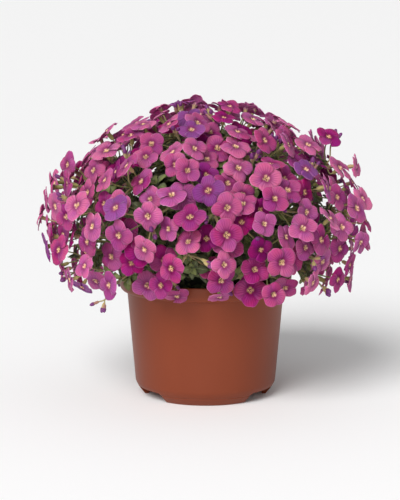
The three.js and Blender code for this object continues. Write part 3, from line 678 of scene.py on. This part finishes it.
def tinted(tree, stops):
    """The colour that a piece's own "tint" picks between stops, each a place and a hex colour."""
    tint = add_node(tree, "ShaderNodeAttribute", {"attribute_name": "tint"}, output="Fac")
    colour = add_node(tree, "ShaderNodeValToRGB", inputs=(tint,))
    band = colour.node.color_ramp.elements
    while len(band) < len(stops):
        band.new(0.5)
    for element, (place, paint) in zip(band, stops):
        element.position, element.color = place, linear(paint)
    return colour


def painted(tree, colour, coats):
    """A colour under coats of paint; a coat is its factor, its hex colour and the way it blends."""
    for factor, paint, blend in coats:
        settings = {"data_type": "RGBA", "blend_type": blend}
        colour = add_node(tree, "ShaderNodeMix", settings, {0: factor, 6: colour, 7: linear(paint)}, 2)
    return colour


def blade_coordinates(tree):
    """How far along its blade a point is, how far from the middle line, and 1 on the underside."""
    uv = add_node(tree, "ShaderNodeUVMap", {"uv_map": "UVMap"})
    x, y = add_node(tree, "ShaderNodeSeparateXYZ", inputs=(uv,)).node.outputs[:2]
    under = add_node(tree, "ShaderNodeMath", {"operation": "GREATER_THAN"}, (x, 1.5))
    along = add_node(tree, "ShaderNodeMath", MULTIPLY_ADD, (under, -UNDERSIDE_SHIFT, x))
    return along, add_node(tree, "ShaderNodeMath", SUBTRACT, (y, 0.5)), under


def vein_lines(tree, here, middle, count, wander, sharp):
    """Lines that fan out from the claw, so many side by side, each a little bent."""
    drift = add_node(tree, "ShaderNodeTexNoise", inputs={
        "Vector": here,
        "Scale": per_metre(VEIN_BEND),
        "Detail": 3.0,
    })
    bend = add_node(tree, "ShaderNodeMath", SUBTRACT, (drift, 0.5))
    bend = add_node(tree, "ShaderNodeMath", MULTIPLY, (bend, wander))
    wave = add_node(tree, "ShaderNodeMath", MULTIPLY_ADD, (middle, math.tau * count, bend))
    for operation, by in (("SINE", 0.0), ("MAXIMUM", 0.0), ("POWER", sharp)):
        wave = add_node(tree, "ShaderNodeMath", {"operation": operation}, (wave, by))
    return wave


def petal_material():
    """A fresh petal is thin and velvety, so light glows in it and it has no gloss. Darker veins fan out
    and fork towards its paler edge. Its underside is painted paler, partly as its own paler colour and
    partly as painted light that stands in for light shining through it. Blooms that others cover are
    painted darker and deeper in colour: painted shade."""
    material, tree, here = new_material(
        "fresh petal", Roughness=0.64, Specular_IOR_Level=0.1, Sheen_Weight=0.04, Sheen_Roughness=0.45,
        Subsurface_Weight=0.55, Subsurface_Radius=(1.0, 0.32, 0.72), Subsurface_Scale=1.2 * MM,
    )
    body = tinted(tree, [
        (0.0, "#863074"), (0.25, "#9A3872"), (0.5, "#A84072"), (0.72, "#B44C78"),
        (0.87, "#C4608E"), (0.9, "#823A7E"), (1.0, "#4A1A5E"),
    ])
    along, middle, under = blade_coordinates(tree)
    side = add_node(tree, "ShaderNodeMath", ABSOLUTE, (middle,))
    patch, cloud = (
        add_node(tree, "ShaderNodeTexNoise", inputs={"Vector": here, "Scale": scale, "Detail": 2.0})
        for scale in (per_metre(PETAL_PATCH), per_metre(PETAL_CLOUD))
    )
    # Each changes smoothly between two places on the petal, from one strength to another
    patch, inner, forked, rooted, tip, edge, heart, claw, lift, border, core = (
        add_node(tree, "ShaderNodeMapRange", SMOOTH, span) for span in (
            (patch, 0.42, 0.7, 0.0, 0.45), (along, 0.3, 0.75, 0.27, 0.0), (along, 0.35, 0.75, 0.0, 0.5),
            (along, 0.5, 1.0, 0.9, 0.3), (along, 0.45, 0.8, 0.06, 0.34), (along, 0.93, 1.0, 0.0, 0.4),
            (along, 0.16, 0.5, 0.85, 0.0), (along, 0.09, 0.2, 1.0, 0.0), (along, 0.2, 0.95, -0.12, 0.06),
            (side, 0.44, 0.5, 0.0, 1.0), (side, 0.15, 0.45, 1.0, 0.2),
        )
    )
    coarse = vein_lines(tree, here, middle, VEINS, 3.0, 3.0)
    fine = vein_lines(tree, here, middle, FINE_VEINS, 4.0, 2.0)
    fine, strong, rim, star, back = (
        add_node(tree, "ShaderNodeMath", MULTIPLY, pair)
        for pair in ((fine, forked), (coarse, rooted), (border, tip), (claw, core), (under, 0.45))
    )
    veins = add_node(tree, "ShaderNodeMath", MAXIMUM, (strong, fine))
    veins = add_node(tree, "ShaderNodeMath", MULTIPLY, (veins, 0.78))
    rim = add_node(tree, "ShaderNodeMath", MAXIMUM, (rim, edge))
    colour = painted(tree, body, [
        (patch, "#7C3080", "MIX"), (inner, "#7E2E80", "MIX"), (veins, "#A85A94", "MULTIPLY"),
        (rim, "#CC82A8", "MIX"), (heart, "#72104C", "MIX"), (star, "#EEBC9C", "MIX"),
    ])
    # The piece's "shade" sets the value and the saturation: it differs at random from bloom to bloom, and
    # is lowered on blooms that others cover, which is painted shade
    shade = add_node(tree, "ShaderNodeAttribute", {"attribute_name": "shade"}, output="Fac")
    value = add_node(tree, "ShaderNodeMath", MULTIPLY_ADD, (cloud, 0.3, 0.355))
    value = add_node(tree, "ShaderNodeMath", MULTIPLY_ADD, (shade, 0.9, value))
    colour = add_node(tree, "ShaderNodeHueSaturation", inputs={
        "Value": add_node(tree, "ShaderNodeMath", ADD, (value, lift)),
        "Saturation": add_node(tree, "ShaderNodeMapRange", SMOOTH, (shade, 0.0, 0.75, 1.22, 0.9)),
        "Color": colour,
    })
    relief = add_node(tree, "ShaderNodeMath", MULTIPLY_ADD, (fine, 0.6, coarse))
    # Painted light: the underside is mixed towards a paler pink, partly its own paler colour and partly
    # standing in for light shining through the petal
    return surfaced(material, painted(tree, colour, [(back, "#BC78AA", "MIX")]), relief, -0.1, 0.6)


def leaf_material():
    """A leaf under short down, which makes its olive green matt and a little grey, with a paler midrib."""
    material, tree, here = new_material(
        "downy leaf", Roughness=0.72, Sheen_Weight=0.12, Sheen_Roughness=0.5, Subsurface_Weight=0.06,
        Subsurface_Radius=(0.4, 0.8, 0.2), Subsurface_Scale=1.0 * MM,
    )
    # The darkest stops are painted shade, for leaves deep in the mound
    body = tinted(tree, [(0.0, "#1A1E0C"), (0.3, "#343D18"), (0.65, "#646E30"), (1.0, "#A6AA5C")])
    along, middle, _ = blade_coordinates(tree)
    side = add_node(tree, "ShaderNodeMath", ABSOLUTE, (middle,))
    near = add_node(tree, "ShaderNodeMapRange", SMOOTH, (side, 0.03, 0.07, 1.0, 0.0))
    fading = add_node(tree, "ShaderNodeMapRange", SMOOTH, (along, 0.3, 1.0, 0.55, 0.1))
    rib = add_node(tree, "ShaderNodeMath", MULTIPLY, (near, fading))
    down = add_node(tree, "ShaderNodeTexNoise", inputs={
        "Vector": here,
        "Scale": per_metre(LEAF_DOWN),
        "Detail": 2.0,
    })
    pale = add_node(tree, "ShaderNodeMath", MULTIPLY, (down, 0.22))
    colour = painted(tree, body, [(rib, "#9BA873", "MIX"), (pale, "#989A68", "MIX")])
    return surfaced(material, colour, down, 0.1, 0.7)


def stem_material(name, stops):
    """A green shoot or calyx under short down, which pales its edges and leaves it no gloss."""
    material, tree, here = new_material(name, Roughness=0.66, Sheen_Weight=0.25, Sheen_Roughness=0.4)
    mottle, down = (
        add_node(tree, "ShaderNodeTexNoise", inputs={"Vector": here, "Scale": scale, "Detail": 2.0})
        for scale in (per_metre(STEM_MOTTLE), per_metre(STEM_DOWN))
    )
    mottle = add_node(tree, "ShaderNodeMath", MULTIPLY, (mottle, 0.4))
    colour = painted(tree, tinted(tree, stops), [(mottle, "#8B7A4E", "MIX")])
    return surfaced(material, colour, down, 0.08, 0.7)


def plain_material(name, colour, other, size, depth=0.1, **sockets):
    """A finish of one colour, clouded with another in grains of a size, which stand up by a depth."""
    material, tree, here = new_material(name, **sockets)
    grain = add_node(tree, "ShaderNodeTexNoise", inputs={
        "Vector": here,
        "Scale": per_metre(size),
        "Detail": 4.0,
    })
    return surfaced(material, painted(tree, linear(colour), [(grain, other, "MIX")]), grain, depth, 0.6)


def pot_material():
    """Injection-moulded polypropylene has a satin skin with faint clouds where the melt flowed. The
    wall is painted a little darker towards its foot: painted shade."""
    material, tree, here = new_material("moulded polypropylene", Roughness=0.46, Specular_IOR_Level=0.27)
    flow = add_node(tree, "ShaderNodeMapping", inputs={"Vector": here, "Scale": (1.0, 1.0, 0.12)})
    clouds, fine = (
        add_node(tree, "ShaderNodeTexNoise", inputs={"Vector": where, "Scale": scale, "Detail": 3.0})
        for where, scale in ((flow, per_metre(POT_FLOW)), (here, per_metre(POT_GRIT)))
    )
    specks = add_node(tree, "ShaderNodeMath", MULTIPLY, (fine, 0.18))
    height = add_node(tree, "ShaderNodeSeparateXYZ", inputs=(here,), output="Z")
    # Painted shade: the wall is darkened towards its foot
    painted_foot_shade = add_node(tree, "ShaderNodeMapRange", SMOOTH, (height, 0.0, POT_HEIGHT * MM, 0.34, 0.0))
    colour = painted(tree, linear("#763115"), [
        (clouds, "#843B1D", "MIX"), (specks, "#5E2A1C", "MIX"), (painted_foot_shade, "#5C2A18", "MIX"),
    ])
    return surfaced(material, colour, fine, 0.03, 0.5)


petal_finish = petal_material()
leaf_finish = leaf_material()
# The darkest stops are painted shade, for stalks and stems deep in the mound
stalk_finish = stem_material("downy shoot", [
    (0.0, "#2C2E18"), (0.35, "#56582C"), (0.65, "#8E8E50"), (1.0, "#B0946A"),
])
calyx_finish = stem_material("downy calyx", [(0.0, "#98944E"), (0.5, "#B8A168"), (1.0, "#A06A66")])
# The throat is smooth tissue, deep in colour and matt
throat_finish = plain_material("throat", "#54103A", "#8A3450", THROAT_GRAIN, Roughness=0.7)
# Ripe anthers are dusted with pollen, so they are pale and have no gloss
anther_finish = plain_material(
    "ripe anther", "#F2BE88", "#FCDCB0", POLLEN_GRAIN, Roughness=0.95, Specular_IOR_Level=0.05,
)
# A rolled bud shows only the dark backs of its petals
bud_finish = plain_material("rolled bud", "#4C1450", "#7A2C72", BUD_FOLD, Roughness=0.6)
# Twigs and leaves deep in the mound are painted a rough, nearly black green: painted shade, as they lie in
# the mound's shadow
core_finish = plain_material("shaded twigs", "#161C10", "#2C3620", TWIG_GAP, 1.2, Roughness=0.9)
# Damp peat compost is dark brown, crumbly and matt
compost_finish = plain_material("peat compost", "#1E1611", "#3A2B20", PEAT_CRUMB, 0.8, Roughness=0.95)
pot_finish = pot_material()


# Pot

def rounded(corners):
    """A profile of (radius, height, rounding) corners, with an arc at each rounded one."""
    path = []
    for i, (r, z, round_by) in enumerate(corners):
        here = np.array([r, z])
        if not round_by:
            path.append(here)
            continue
        before, after = np.array(corners[i - 1][:2]), np.array(corners[(i + 1) % len(corners)][:2])
        a, b = here + unit(before - here) * round_by, here + unit(after - here) * round_by
        for t in np.linspace(0, 1, 5):
            path.append((1 - t) ** 2 * a + 2 * t * (1 - t) * here + t * t * b)
    return path


def make_pot():
    """The pot: a turned shell with a rolled rim band, with its notches and drain holes cut."""
    band = POT_HEIGHT - RIM_BAND
    profile = rounded([
        (0.0, FLOOR_UNDER, 0), (FOOT_RADIUS - FOOT_WIDTH, FLOOR_UNDER, 0.6),
        (FOOT_RADIUS - FOOT_WIDTH, 0.0, 0.5), (FOOT_RADIUS, 0.0, 0.7),
        (CHINE_RADIUS - 0.2, CHINE_HEIGHT - 0.4, 0.3), (CHINE_RADIUS - GROOVE_DEPTH, CHINE_HEIGHT, 0.2),
        (CHINE_RADIUS + 0.4, CHINE_HEIGHT + 0.5, 0.3), (BODY_FOOT_RADIUS, CHINE_HEIGHT + 4, 1.6),
        (BODY_TOP_RADIUS, band, 0.5), (RIM_RADIUS - 1.8, band + 0.1, 1.4),
        (RIM_RADIUS - 0.4, band + 2.6, 1.2), (RIM_RADIUS, POT_HEIGHT, 0.8),
        (RIM_RADIUS - 2.0, POT_HEIGHT, 0.8), (RIM_RADIUS - 2.6, band + 1.8, 0.8),
        (BODY_TOP_RADIUS - POT_WALL, band + 1.2, 0.4),
        (BODY_FOOT_RADIUS - POT_WALL - 0.6, FLOOR_TOP, 1.2), (0.0, FLOOR_TOP, 0),
    ])
    angles = np.arange(POT_FACETS) * 2 * np.pi / POT_FACETS
    points = [(0, 0, FLOOR_UNDER)]
    for r, z in profile[1:-1]:
        points += [(r * math.cos(a), r * math.sin(a), z) for a in angles]
    points.append((0, 0, FLOOR_TOP))
    n, rings, last = POT_FACETS, len(profile) - 2, len(points) - 1
    faces = []
    for k in range(n):
        m = (k + 1) % n
        faces.append([0, 1 + k, 1 + m])
        faces.append([last, last - n + m, last - n + k])
        for i in range(rings - 1):
            a, b = 1 + i * n, 1 + (i + 1) * n
            faces.append([a + k, b + k, b + m, a + m])
    pot = object_from("pot_shell", mesh_from("pot_shell", points, faces))
    # One notch is at the back, and the others are to both sides of the front
    for i in range(NOTCH_COUNT):
        angle = (i + 0.75) * 2 * np.pi / NOTCH_COUNT
        cut_notch(pot, angle)
        cut_drain(pot, angle)
    pot.data.shade_smooth()
    pot.data.set_sharp_from_angle(angle=math.radians(35))
    pot.data.materials.clear()
    pot.data.materials.append(pot_finish)
    return pot


def cut(target, cutter):
    """Cuts one object out of another, and removes the cutter."""
    modifier = target.modifiers.new("cut", "BOOLEAN")
    modifier.operation, modifier.object, modifier.solver = "DIFFERENCE", cutter, "EXACT"
    bpy.context.view_layer.update()
    graph = bpy.context.evaluated_depsgraph_get()
    mesh = bpy.data.meshes.new_from_object(target.evaluated_get(graph), depsgraph=graph)
    target.modifiers.clear()
    target.data = mesh
    bpy.data.objects.remove(cutter)


def cut_notch(pot, angle):
    """Cuts a notch with bevelled shoulders through the foot ring."""
    half, top, bevel = NOTCH_WIDTH / 2, NOTCH_HEIGHT, NOTCH_ROUNDING
    outline = [
        (-half, -1.0), (half, -1.0), (half, top - bevel),
        (half - bevel, top), (bevel - half, top), (-half, top - bevel),
    ]
    middle = FOOT_RADIUS + NOTCH_SHIFT
    ends = middle - NOTCH_LENGTH / 2, middle + NOTCH_LENGTH / 2
    points = [(x, y, z) for x in ends for y, z in outline]
    n = len(outline)
    faces = [list(range(n)), list(range(2 * n - 1, n - 1, -1))]
    faces += [[k, k + n, (k + 1) % n + n, (k + 1) % n] for k in range(n)]
    cutter = object_from("notch", mesh_from("notch", points, faces))
    cutter.data.transform(Matrix.Rotation(angle, 4, "Z"))
    cut(pot, cutter)


def cut_drain(pot, angle):
    """Cuts a round drain hole through the floor."""
    cutter = object_from("drain", lathe("drain", [(DRAIN_RADIUS, 4.0), (DRAIN_RADIUS, 12.0)], 32))
    cutter.data.transform(Matrix.Translation((DRAIN_CIRCLE * MM, 0, 0)))
    cutter.data.transform(Matrix.Rotation(angle, 4, "Z"))
    cut(pot, cutter)


def keep(piece, slot, *nodes):
    """Lets a piece ride on the root and hides the frame nodes that it stands for; its slot is not used."""
    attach(piece, "root")
    if nodes:
        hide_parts(*nodes)


keep(make_pot(), "pot_plastic", "pot")
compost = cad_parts["soil"].data
compost.materials.clear()
compost.materials.append(compost_finish)

crumbs = []
for _ in range(CRUMB_COUNT):
    angle, r = rng.uniform(0, 2 * np.pi), CRUMB_REACH * math.sqrt(rng.uniform(0.05, 1))
    z = np.interp(r, (SOIL_FLAT, SOIL_RADIUS), (SOIL_TOP + 0.2, SOIL_EDGE))
    turn = Matrix.Rotation(rng.uniform(0, 6.3), 3, Vector(unit(rng.normal(size=3)))).to_quaternion()
    wide = rng.uniform(0.7, 2.6)
    crumbs.append({
        "at": np.array([r * math.cos(angle), r * math.sin(angle), z + 0.15 * wide]),
        "turn": turn,
        "size": (wide, wide * rng.uniform(0.5, 1), wide * rng.uniform(0.5, 1)),
        "pick": rng.integers(CRUMB_FORMS),
    })
crumb_forms = forms("crumb", [crumb_form(f"crumb_{i}", 700 + i) for i in range(CRUMB_FORMS)])
keep(scattered("compost_crumbs", crumbs, crumb_forms, compost_finish), "compost")


# Blooms

petal_forms = forms("petal", [petal_form(f"petal_{i}", 100 + i) for i in range(PETAL_FORMS)])
calyx_forms = forms("calyx", [calyx_form(f"calyx_{i}", 200 + i) for i in range(3)])
anther_forms = forms("anthers", [anther_form(f"anthers_{i}", 300 + i) for i in range(3)])
throat_forms = forms("throat", [throat_form("throat")])
bud_forms = forms("bud", [bud_form(f"bud_{i}", 400 + i) for i in range(3)])
fine_leaves, small_leaves, inner_leaves = (
    forms(name, [leaf_form(f"{name}_{i}", seed + i, outline, cols) for i in range(LEAF_FORMS)])
    for name, seed, outline, cols in (
        ("fine_leaf", 500, TOOTHED, 5), ("small_leaf", 600, NOTCHED, 3), ("inner_leaf", 650, PLAIN, 2),
    )
)

sectors = {"front": [], "right": [], "back": [], "left": []}
petals = {name: [] for name in sectors}
bloom_centres = np.array([b["centre"] for h in heads for b in h["blooms"]])
bloom_facings = np.array([b["facing"] for h in heads for b in h["blooms"]])
bloom_radii = np.array([b["radius"] for h in heads for b in h["blooms"]])
box_low, box_high = [np.array(corner) / MM for corner in cad_box]
throats, anthers, calyces, buds, stalks, stems = [], [], [], [], [], []


def sector_of(head):
    """The side of the mound that a head is on."""
    x, y = head["at"][:2] + head["aim"][:2] * 20
    if abs(x) > abs(y):
        return "right" if x > 0 else "left"
    return "back" if y > 0 else "front"


def cover_of(centre):
    """How far other blooms cover one, from 0 to 1: those that are near it and further out. It sets how much
    painted shade a bloom gets.
    """
    out = unit(centre - STEM_HEART)
    away = bloom_centres - centre
    above = away @ out
    beside = np.linalg.norm(away - above[:, None] * out, axis=1)
    return float(np.clip(np.sum((above > 1.5) & (beside < 15)) / 4, 0, 1))


def clear_of_blooms(path, margin=1.4):
    """Whether every point of a path keeps off the petals of all blooms and stays in the CAD box."""
    if (path < box_low + margin).any() or (path > box_high - margin).any():
        return False
    for point in path:
        away = point - bloom_centres
        level = np.sum(away * bloom_facings, axis=1)
        wide = np.linalg.norm(away - level[:, None] * bloom_facings, axis=1)
        if ((level > -margin - 1) & (level < margin + 2) & (wide < bloom_radii + 1)).any():
            return False
    return True


def add_bud(foot, way, size):
    """A bud of rolled dark petals in its calyx."""
    turn = quaternion(across_of(way), way)
    buds.append({"at": foot, "turn": turn, "size": (size, size, size), "pick": rng.integers(3)})
    calyces.append({
        "at": foot + way * 7.0 * size, "turn": turn, "size": (size * 0.95,) * 3,
        "pick": rng.integers(3), "tint": rng.uniform(0.3, 1),
    })


def add_sprig(start, aim):
    """A stalk with two or three buds, where it finds a way out between the blooms."""
    for _ in range(60):
        way = unit(aim + rng.uniform(-0.6, 0.6, 3))
        fork = start + way * rng.uniform(11, 19)
        tip = fork + way * 12
        trunk = bent(start, aim, fork, way, 7)
        if clear_of_blooms(trunk[2:]) and clear_of_blooms(np.linspace(fork, tip, 6)):
            break
    else:
        return
    stalks.append((trunk, np.full(7, STALK_RADIUS * 1.2), rng.uniform(0.2, 0.8)))
    for _ in range(rng.integers(2, 4)):
        lean = unit(way + rng.uniform(-0.5, 0.5, 3))
        foot = fork + lean * rng.uniform(0.5, 4.5)
        stalks.append((bent(fork, way, foot + lean, lean, 5), np.full(5, STALK_RADIUS), 0.6))
        add_bud(foot, lean, rng.uniform(0.7, 1.05))


def dress_bloom(bloom, sector):
    """A bloom's petals, throat, anthers, calyx and stalk, where the frame has the bloom."""
    centre, facing, radius = bloom["centre"], bloom["facing"], bloom["radius"]
    tint = float(np.clip(rng.normal(0.47, 0.13), 0.08, 0.8))
    if rng.random() < 0.05:
        tint = rng.uniform(0.9, 0.96)
    # Painted shade: a bloom that others cover gets a lower shade, so its petals are painted darker and
    # deeper in colour; the rest of the shade differs at random from bloom to bloom
    shade = rng.uniform(0.36, 0.88) - 0.6 * cover_of(centre)
    hand = rng.choice((-1, 1)) * PETAL_OVERLAP
    scale = radius / BLOOM_RADIUS
    for i, (axis, lift) in enumerate(bloom["petals"]):
        tilt = lift / radius + rng.uniform(-0.05, 0.07)
        yaw = rng.uniform(-0.06, 0.06)
        axis = unit(axis * math.cos(yaw) + np.cross(facing, axis) * math.sin(yaw))
        up = axis * math.cos(tilt) + facing * math.sin(tilt)
        normal = facing * math.cos(tilt) - axis * math.sin(tilt)
        roll = hand + rng.uniform(-0.05, 0.05)
        normal = unit(normal * math.cos(roll) + np.cross(up, normal) * math.sin(roll))
        petals[sector].append({
            "at": centre + facing * (0.12 * (i % 2)),
            "turn": quaternion(up, normal),
            "size": (scale * rng.uniform(0.95, 1.04), scale * rng.uniform(0.94, 1.08), scale),
            "pick": rng.integers(PETAL_FORMS),
            "tint": tint + rng.uniform(-0.02, 0.02),
            "shade": shade + rng.uniform(-0.12, 0.12),
        })
    turn = quaternion(bloom["petals"][0][0], facing)
    size = (scale, scale, scale)
    throats.append({"at": centre, "turn": turn, "size": size, "pick": 0})
    anthers.append({"at": centre, "turn": turn, "size": size, "pick": rng.integers(3)})
    root = bloom["root"]
    neck = centre - facing * 1.0
    down = unit(root - centre)
    axis = unit(facing - 0.45 * down)
    calyx_end = neck - axis * (CALYX_LENGTH - 1.2) * scale
    calyces.append({
        "at": neck + axis * 1.0,
        "turn": quaternion(across_of(axis), axis),
        "size": size,
        "pick": rng.integers(3),
        "tint": rng.uniform(0, 1),
    })
    path = bent(root, unit(calyx_end - root), calyx_end + axis * 0.5, axis, 9)
    stalks.append((path, np.linspace(STALK_RADIUS * 1.15, STALK_RADIUS, len(path)), rng.uniform(0, 1)))


for head in heads:
    sector = sector_of(head)
    sectors[sector].append(head["node"])
    for bloom in head["blooms"]:
        dress_bloom(bloom, sector)
    start = STEM_HEART + (head["at"] - STEM_HEART) * STEM_START
    end = head["at"] + head["aim"] * 5
    path = bent(start, unit(head["at"] - start), end, head["aim"], 16)
    stems.append((path, np.linspace(1.25, 0.85, 16), rng.uniform(0, 1)))
    add_sprig(end, head["aim"])

for name, places in petals.items():
    piece = scattered(f"petals_{name}", places, petal_forms, petal_finish)
    keep(piece, "petal", *sectors[name])
keep(scattered("throats", throats, throat_forms, throat_finish), "petal")
keep(scattered("anthers", anthers, anther_forms, anther_finish), "petal")
keep(scattered("calyces", calyces, calyx_forms, calyx_finish), "leaf")
keep(scattered("flower_buds", buds, bud_forms, bud_finish), "petal")
keep(tubes("flower_stalks", stalks, stalk_finish, 6), "leaf")


# Green parts

def leaf_place(base, along, facing, length, tint):
    """A place for a leaf, from its foot, the way it points, the way its top faces and its length."""
    facing = unit(facing - (facing @ along) * along)
    scale = length / 10
    return {
        "at": base, "turn": quaternion(along, facing), "size": (scale, scale, scale),
        "pick": rng.integers(LEAF_FORMS), "tint": tint,
    }


def rosette(middle, up, size, tint, count=8):
    """A tuft of leaves at the end of a shoot: wide ones outside, small upright ones inside."""
    side = across_of(up)
    other = np.cross(up, side)
    places = []
    for k in range(count):
        angle = k * 2.4 + rng.uniform(-0.2, 0.2)
        rise = 0.25 + 1.0 * k / count + rng.uniform(-0.15, 0.15)
        out = math.cos(angle) * side + math.sin(angle) * other
        along = out * math.cos(rise) + up * math.sin(rise)
        facing = up * math.cos(rise) - out * math.sin(rise)
        length = size * (1.0 - 0.45 * k / count) * rng.uniform(0.85, 1.15)
        light = float(np.clip(tint + 0.3 * k / count + rng.uniform(-0.12, 0.12), 0, 1))
        places.append(leaf_place(middle, along, facing, length, light))
    return places


def gap_spots(spacing):
    """Places a little under the mound's surface where no bloom stands, with the way out from each."""
    reach = np.linalg.norm(bloom_centres - STEM_HEART, axis=1)
    ways = (bloom_centres - STEM_HEART) / reach[:, None]
    found = []
    for _ in range(9000):
        way = unit(rng.normal(size=3) + (0, 0, 0.35))
        near = ways @ way > 0.95
        if near.sum() < 3:
            continue
        spot = STEM_HEART + way * (reach[near].mean() - rng.uniform(13, 34))
        if np.linalg.norm(bloom_centres - spot, axis=1).min() < 9 or spot[2] < 88:
            continue
        if all(np.linalg.norm(spot - other) > spacing for other, _ in found):
            found.append((spot, way))
    return found


def core_point(share, angle):
    """A point on the core's surface and the way out there; share counts the rings that it passes."""
    k = min(int(share), len(CORE) - 2)
    t = share - k
    r, z = [CORE[k][j] * (1 - t) + CORE[k + 1][j] * t for j in (0, 1)]
    point = np.array([r * math.cos(angle), r * math.sin(angle), z])
    return point, unit(np.array([point[0], point[1], (z - CORE_MIDDLE) * 0.9]))


def unevenness(angle, share):
    """How the core swells and shrinks all round and on its way up."""
    return 1 + 0.04 * math.sin(3 * angle + 8 * share) + 0.03 * math.sin(7 * angle + 12 * share)


core_rings = [(0.5, 78.0)] + [(max(r - CORE_SHRINK, 1), z) for r, z in CORE] + [(0.5, 160.0)]
halfway = [tuple((np.array(a) + np.array(b)) / 2) for a, b in zip(core_rings, core_rings[1:])]
core_rings = [ring for pair in zip(core_rings, halfway) for ring in pair] + core_rings[-1:]
core = object_from("shaded_core", lathe("shaded_core", core_rings, 48, unevenness))
core.data.materials.append(core_finish)
keep(core, "leaf", "foliage")

leaves = [
    leaf_place(leaf["base"], leaf["along"], leaf["facing"], leaf["length"] * 1.04, rng.uniform(0.2, 0.75))
    for leaf in frame_leaves
]
tufts, spots = [], []
for _ in range(6000):
    share, angle = rng.uniform(0, len(CORE) - 1), rng.uniform(0, 2 * np.pi)
    point, out = core_point(share, angle)
    if all(np.linalg.norm(point - q) > 10.8 for q in spots):
        spots.append(point)
        up = unit(out + np.array([0, 0, 0.35]) + rng.uniform(-0.25, 0.25, 3))
        # Painted shade: tufts on the core lie deep in the mound and get the darkest tints
        tufts += rosette(point - out * 3, up, rng.uniform(9, 12), rng.uniform(0.0, 0.35))
for head in heads:
    start = STEM_HEART + (head["at"] - STEM_HEART) * STEM_START
    for share in rng.uniform(0.55, 0.98, 2):
        point = start + (head["at"] - start) * share
        way = unit(head["at"] - start)
        up = unit(way + rng.uniform(-0.7, 0.7, 3))
        shoot = point + up * rng.uniform(4, 9)
        stems.append((bent(point, way, shoot, up, 5), np.full(5, 0.6), 0.3))
        tufts += rosette(shoot - up, up, rng.uniform(7, 10), rng.uniform(0.15, 0.6))

stem_points = np.concatenate([path for path, _, _ in stems])
outer_tufts = []
for spot, way in gap_spots(15.4):
    start = stem_points[np.argmin(np.linalg.norm(stem_points - spot, axis=1))]
    up = unit(way + np.array([0, 0, 0.3]) + rng.uniform(-0.4, 0.4, 3))
    stems.append((bent(start, unit(spot - start), spot, up, 6), np.full(6, 0.55), 0.5))
    for leaf in rosette(spot - up, up, rng.uniform(8, 11), rng.uniform(0.05, 0.6)):
        tip = leaf["at"] + np.array(leaf["turn"] @ Vector((1, 0, 0))) * 10 * leaf["size"][0]
        if clear_of_blooms(np.linspace(leaf["at"], tip, 4)[1:], 0.2):
            outer_tufts.append(leaf)

low, bend, high = FRONT_STEM
lower = bent(low, unit(bend - low), bend, np.array([0.3, -0.5, 0.1]), 8)
upper = bent(bend, np.array([0.6, -0.6, 0.2]), high, unit(high - bend), 8)
front = np.concatenate([lower, upper[1:]])
stems.append((front, np.linspace(1.2, 0.95, len(front)), 0.7))
keep(tubes("leafy_stems", stems, stalk_finish, 7), "leaf")
keep(scattered("stem_leaves", leaves, fine_leaves, leaf_finish), "leaf")
keep(scattered("leaf_tufts", tufts, inner_leaves, leaf_finish), "leaf")
keep(scattered("outer_tufts", outer_tufts, small_leaves, leaf_finish), "leaf")


# Stage; its places and sizes are in metres, and the camera's are in millimetres

FLOOR_REACH = 60.0


def make_floor():
    """A wide pale floor that the pot's feet stand on."""
    mesh = bpy.data.meshes.new("floor")
    corners = [(x * FLOOR_REACH, y * FLOOR_REACH, 0) for x, y in ((-1, -1), (1, -1), (1, 1), (-1, 1))]
    mesh.from_pydata(corners, [], [(0, 1, 2, 3)])
    material, _, _ = new_material("pale floor", Roughness=0.8, Base_Color=linear("#FAFAFA"))
    mesh.materials.append(material)
    object_from("floor", mesh)


def add_light(name, at, aim, size, power):
    """A square soft light that looks from one place at another, in metres and watts."""
    lamp = bpy.data.lights.new(name, "AREA")
    lamp.size, lamp.energy = size, power
    holder = bpy.data.objects.new(name, lamp)
    holder.location = at
    holder.rotation_euler = (Vector(aim) - Vector(at)).to_track_quat("-Z", "Y").to_euler()
    bpy.context.scene.collection.objects.link(holder)


def light_stage():
    """A white world, a wide soft sun from the upper left in front, and a weak fill from the front."""
    world = bpy.data.worlds.new("studio")
    world.use_nodes = True
    world.node_tree.nodes["Background"].inputs["Color"].default_value = (1, 1, 1, 1)
    world.node_tree.nodes["Background"].inputs["Strength"].default_value = 0.38
    bpy.context.scene.world = world
    key = bpy.data.lights.new("key", "SUN")
    key.energy, key.angle = 3.15, math.radians(32)
    holder = bpy.data.objects.new("key", key)
    holder.rotation_euler = Vector((0.45, 1.0, -0.84)).to_track_quat("-Z", "Y").to_euler()
    bpy.context.scene.collection.objects.link(holder)
    add_light("fill", (0.0, -1.8, 0.25), (0, 0, 0.05), 1.2, 10)
    bpy.context.scene.view_settings.view_transform = "Standard"


# The camera stands 1.2 m in front of the pot's axis and looks down on it at the photograph's angle.
CAMERA_AWAY, CAMERA_HEIGHT = 1200.0, 286.0
AIM_X, AIM_HEIGHT = -3.8, 100.7
SCALE = 0.695


def place_camera():
    """The camera, with the photograph's scale at the pot's axis."""
    camera = bpy.data.cameras.new("camera")
    holder = bpy.data.objects.new("camera", camera)
    holder.location = Vector((AIM_X, -CAMERA_AWAY, CAMERA_HEIGHT)) * MM
    aim = Vector((AIM_X, 0, AIM_HEIGHT)) * MM
    holder.rotation_euler = (aim - holder.location).to_track_quat("-Z", "Y").to_euler()
    away = (aim - holder.location).length / MM
    camera.sensor_fit = "VERTICAL"
    camera.sensor_height = 24.0
    camera.lens = camera.sensor_height * away / (SCALE * PAGE_HEIGHT)
    bpy.context.scene.collection.objects.link(holder)
    bpy.context.scene.camera = holder


make_floor()
light_stage()
place_camera()
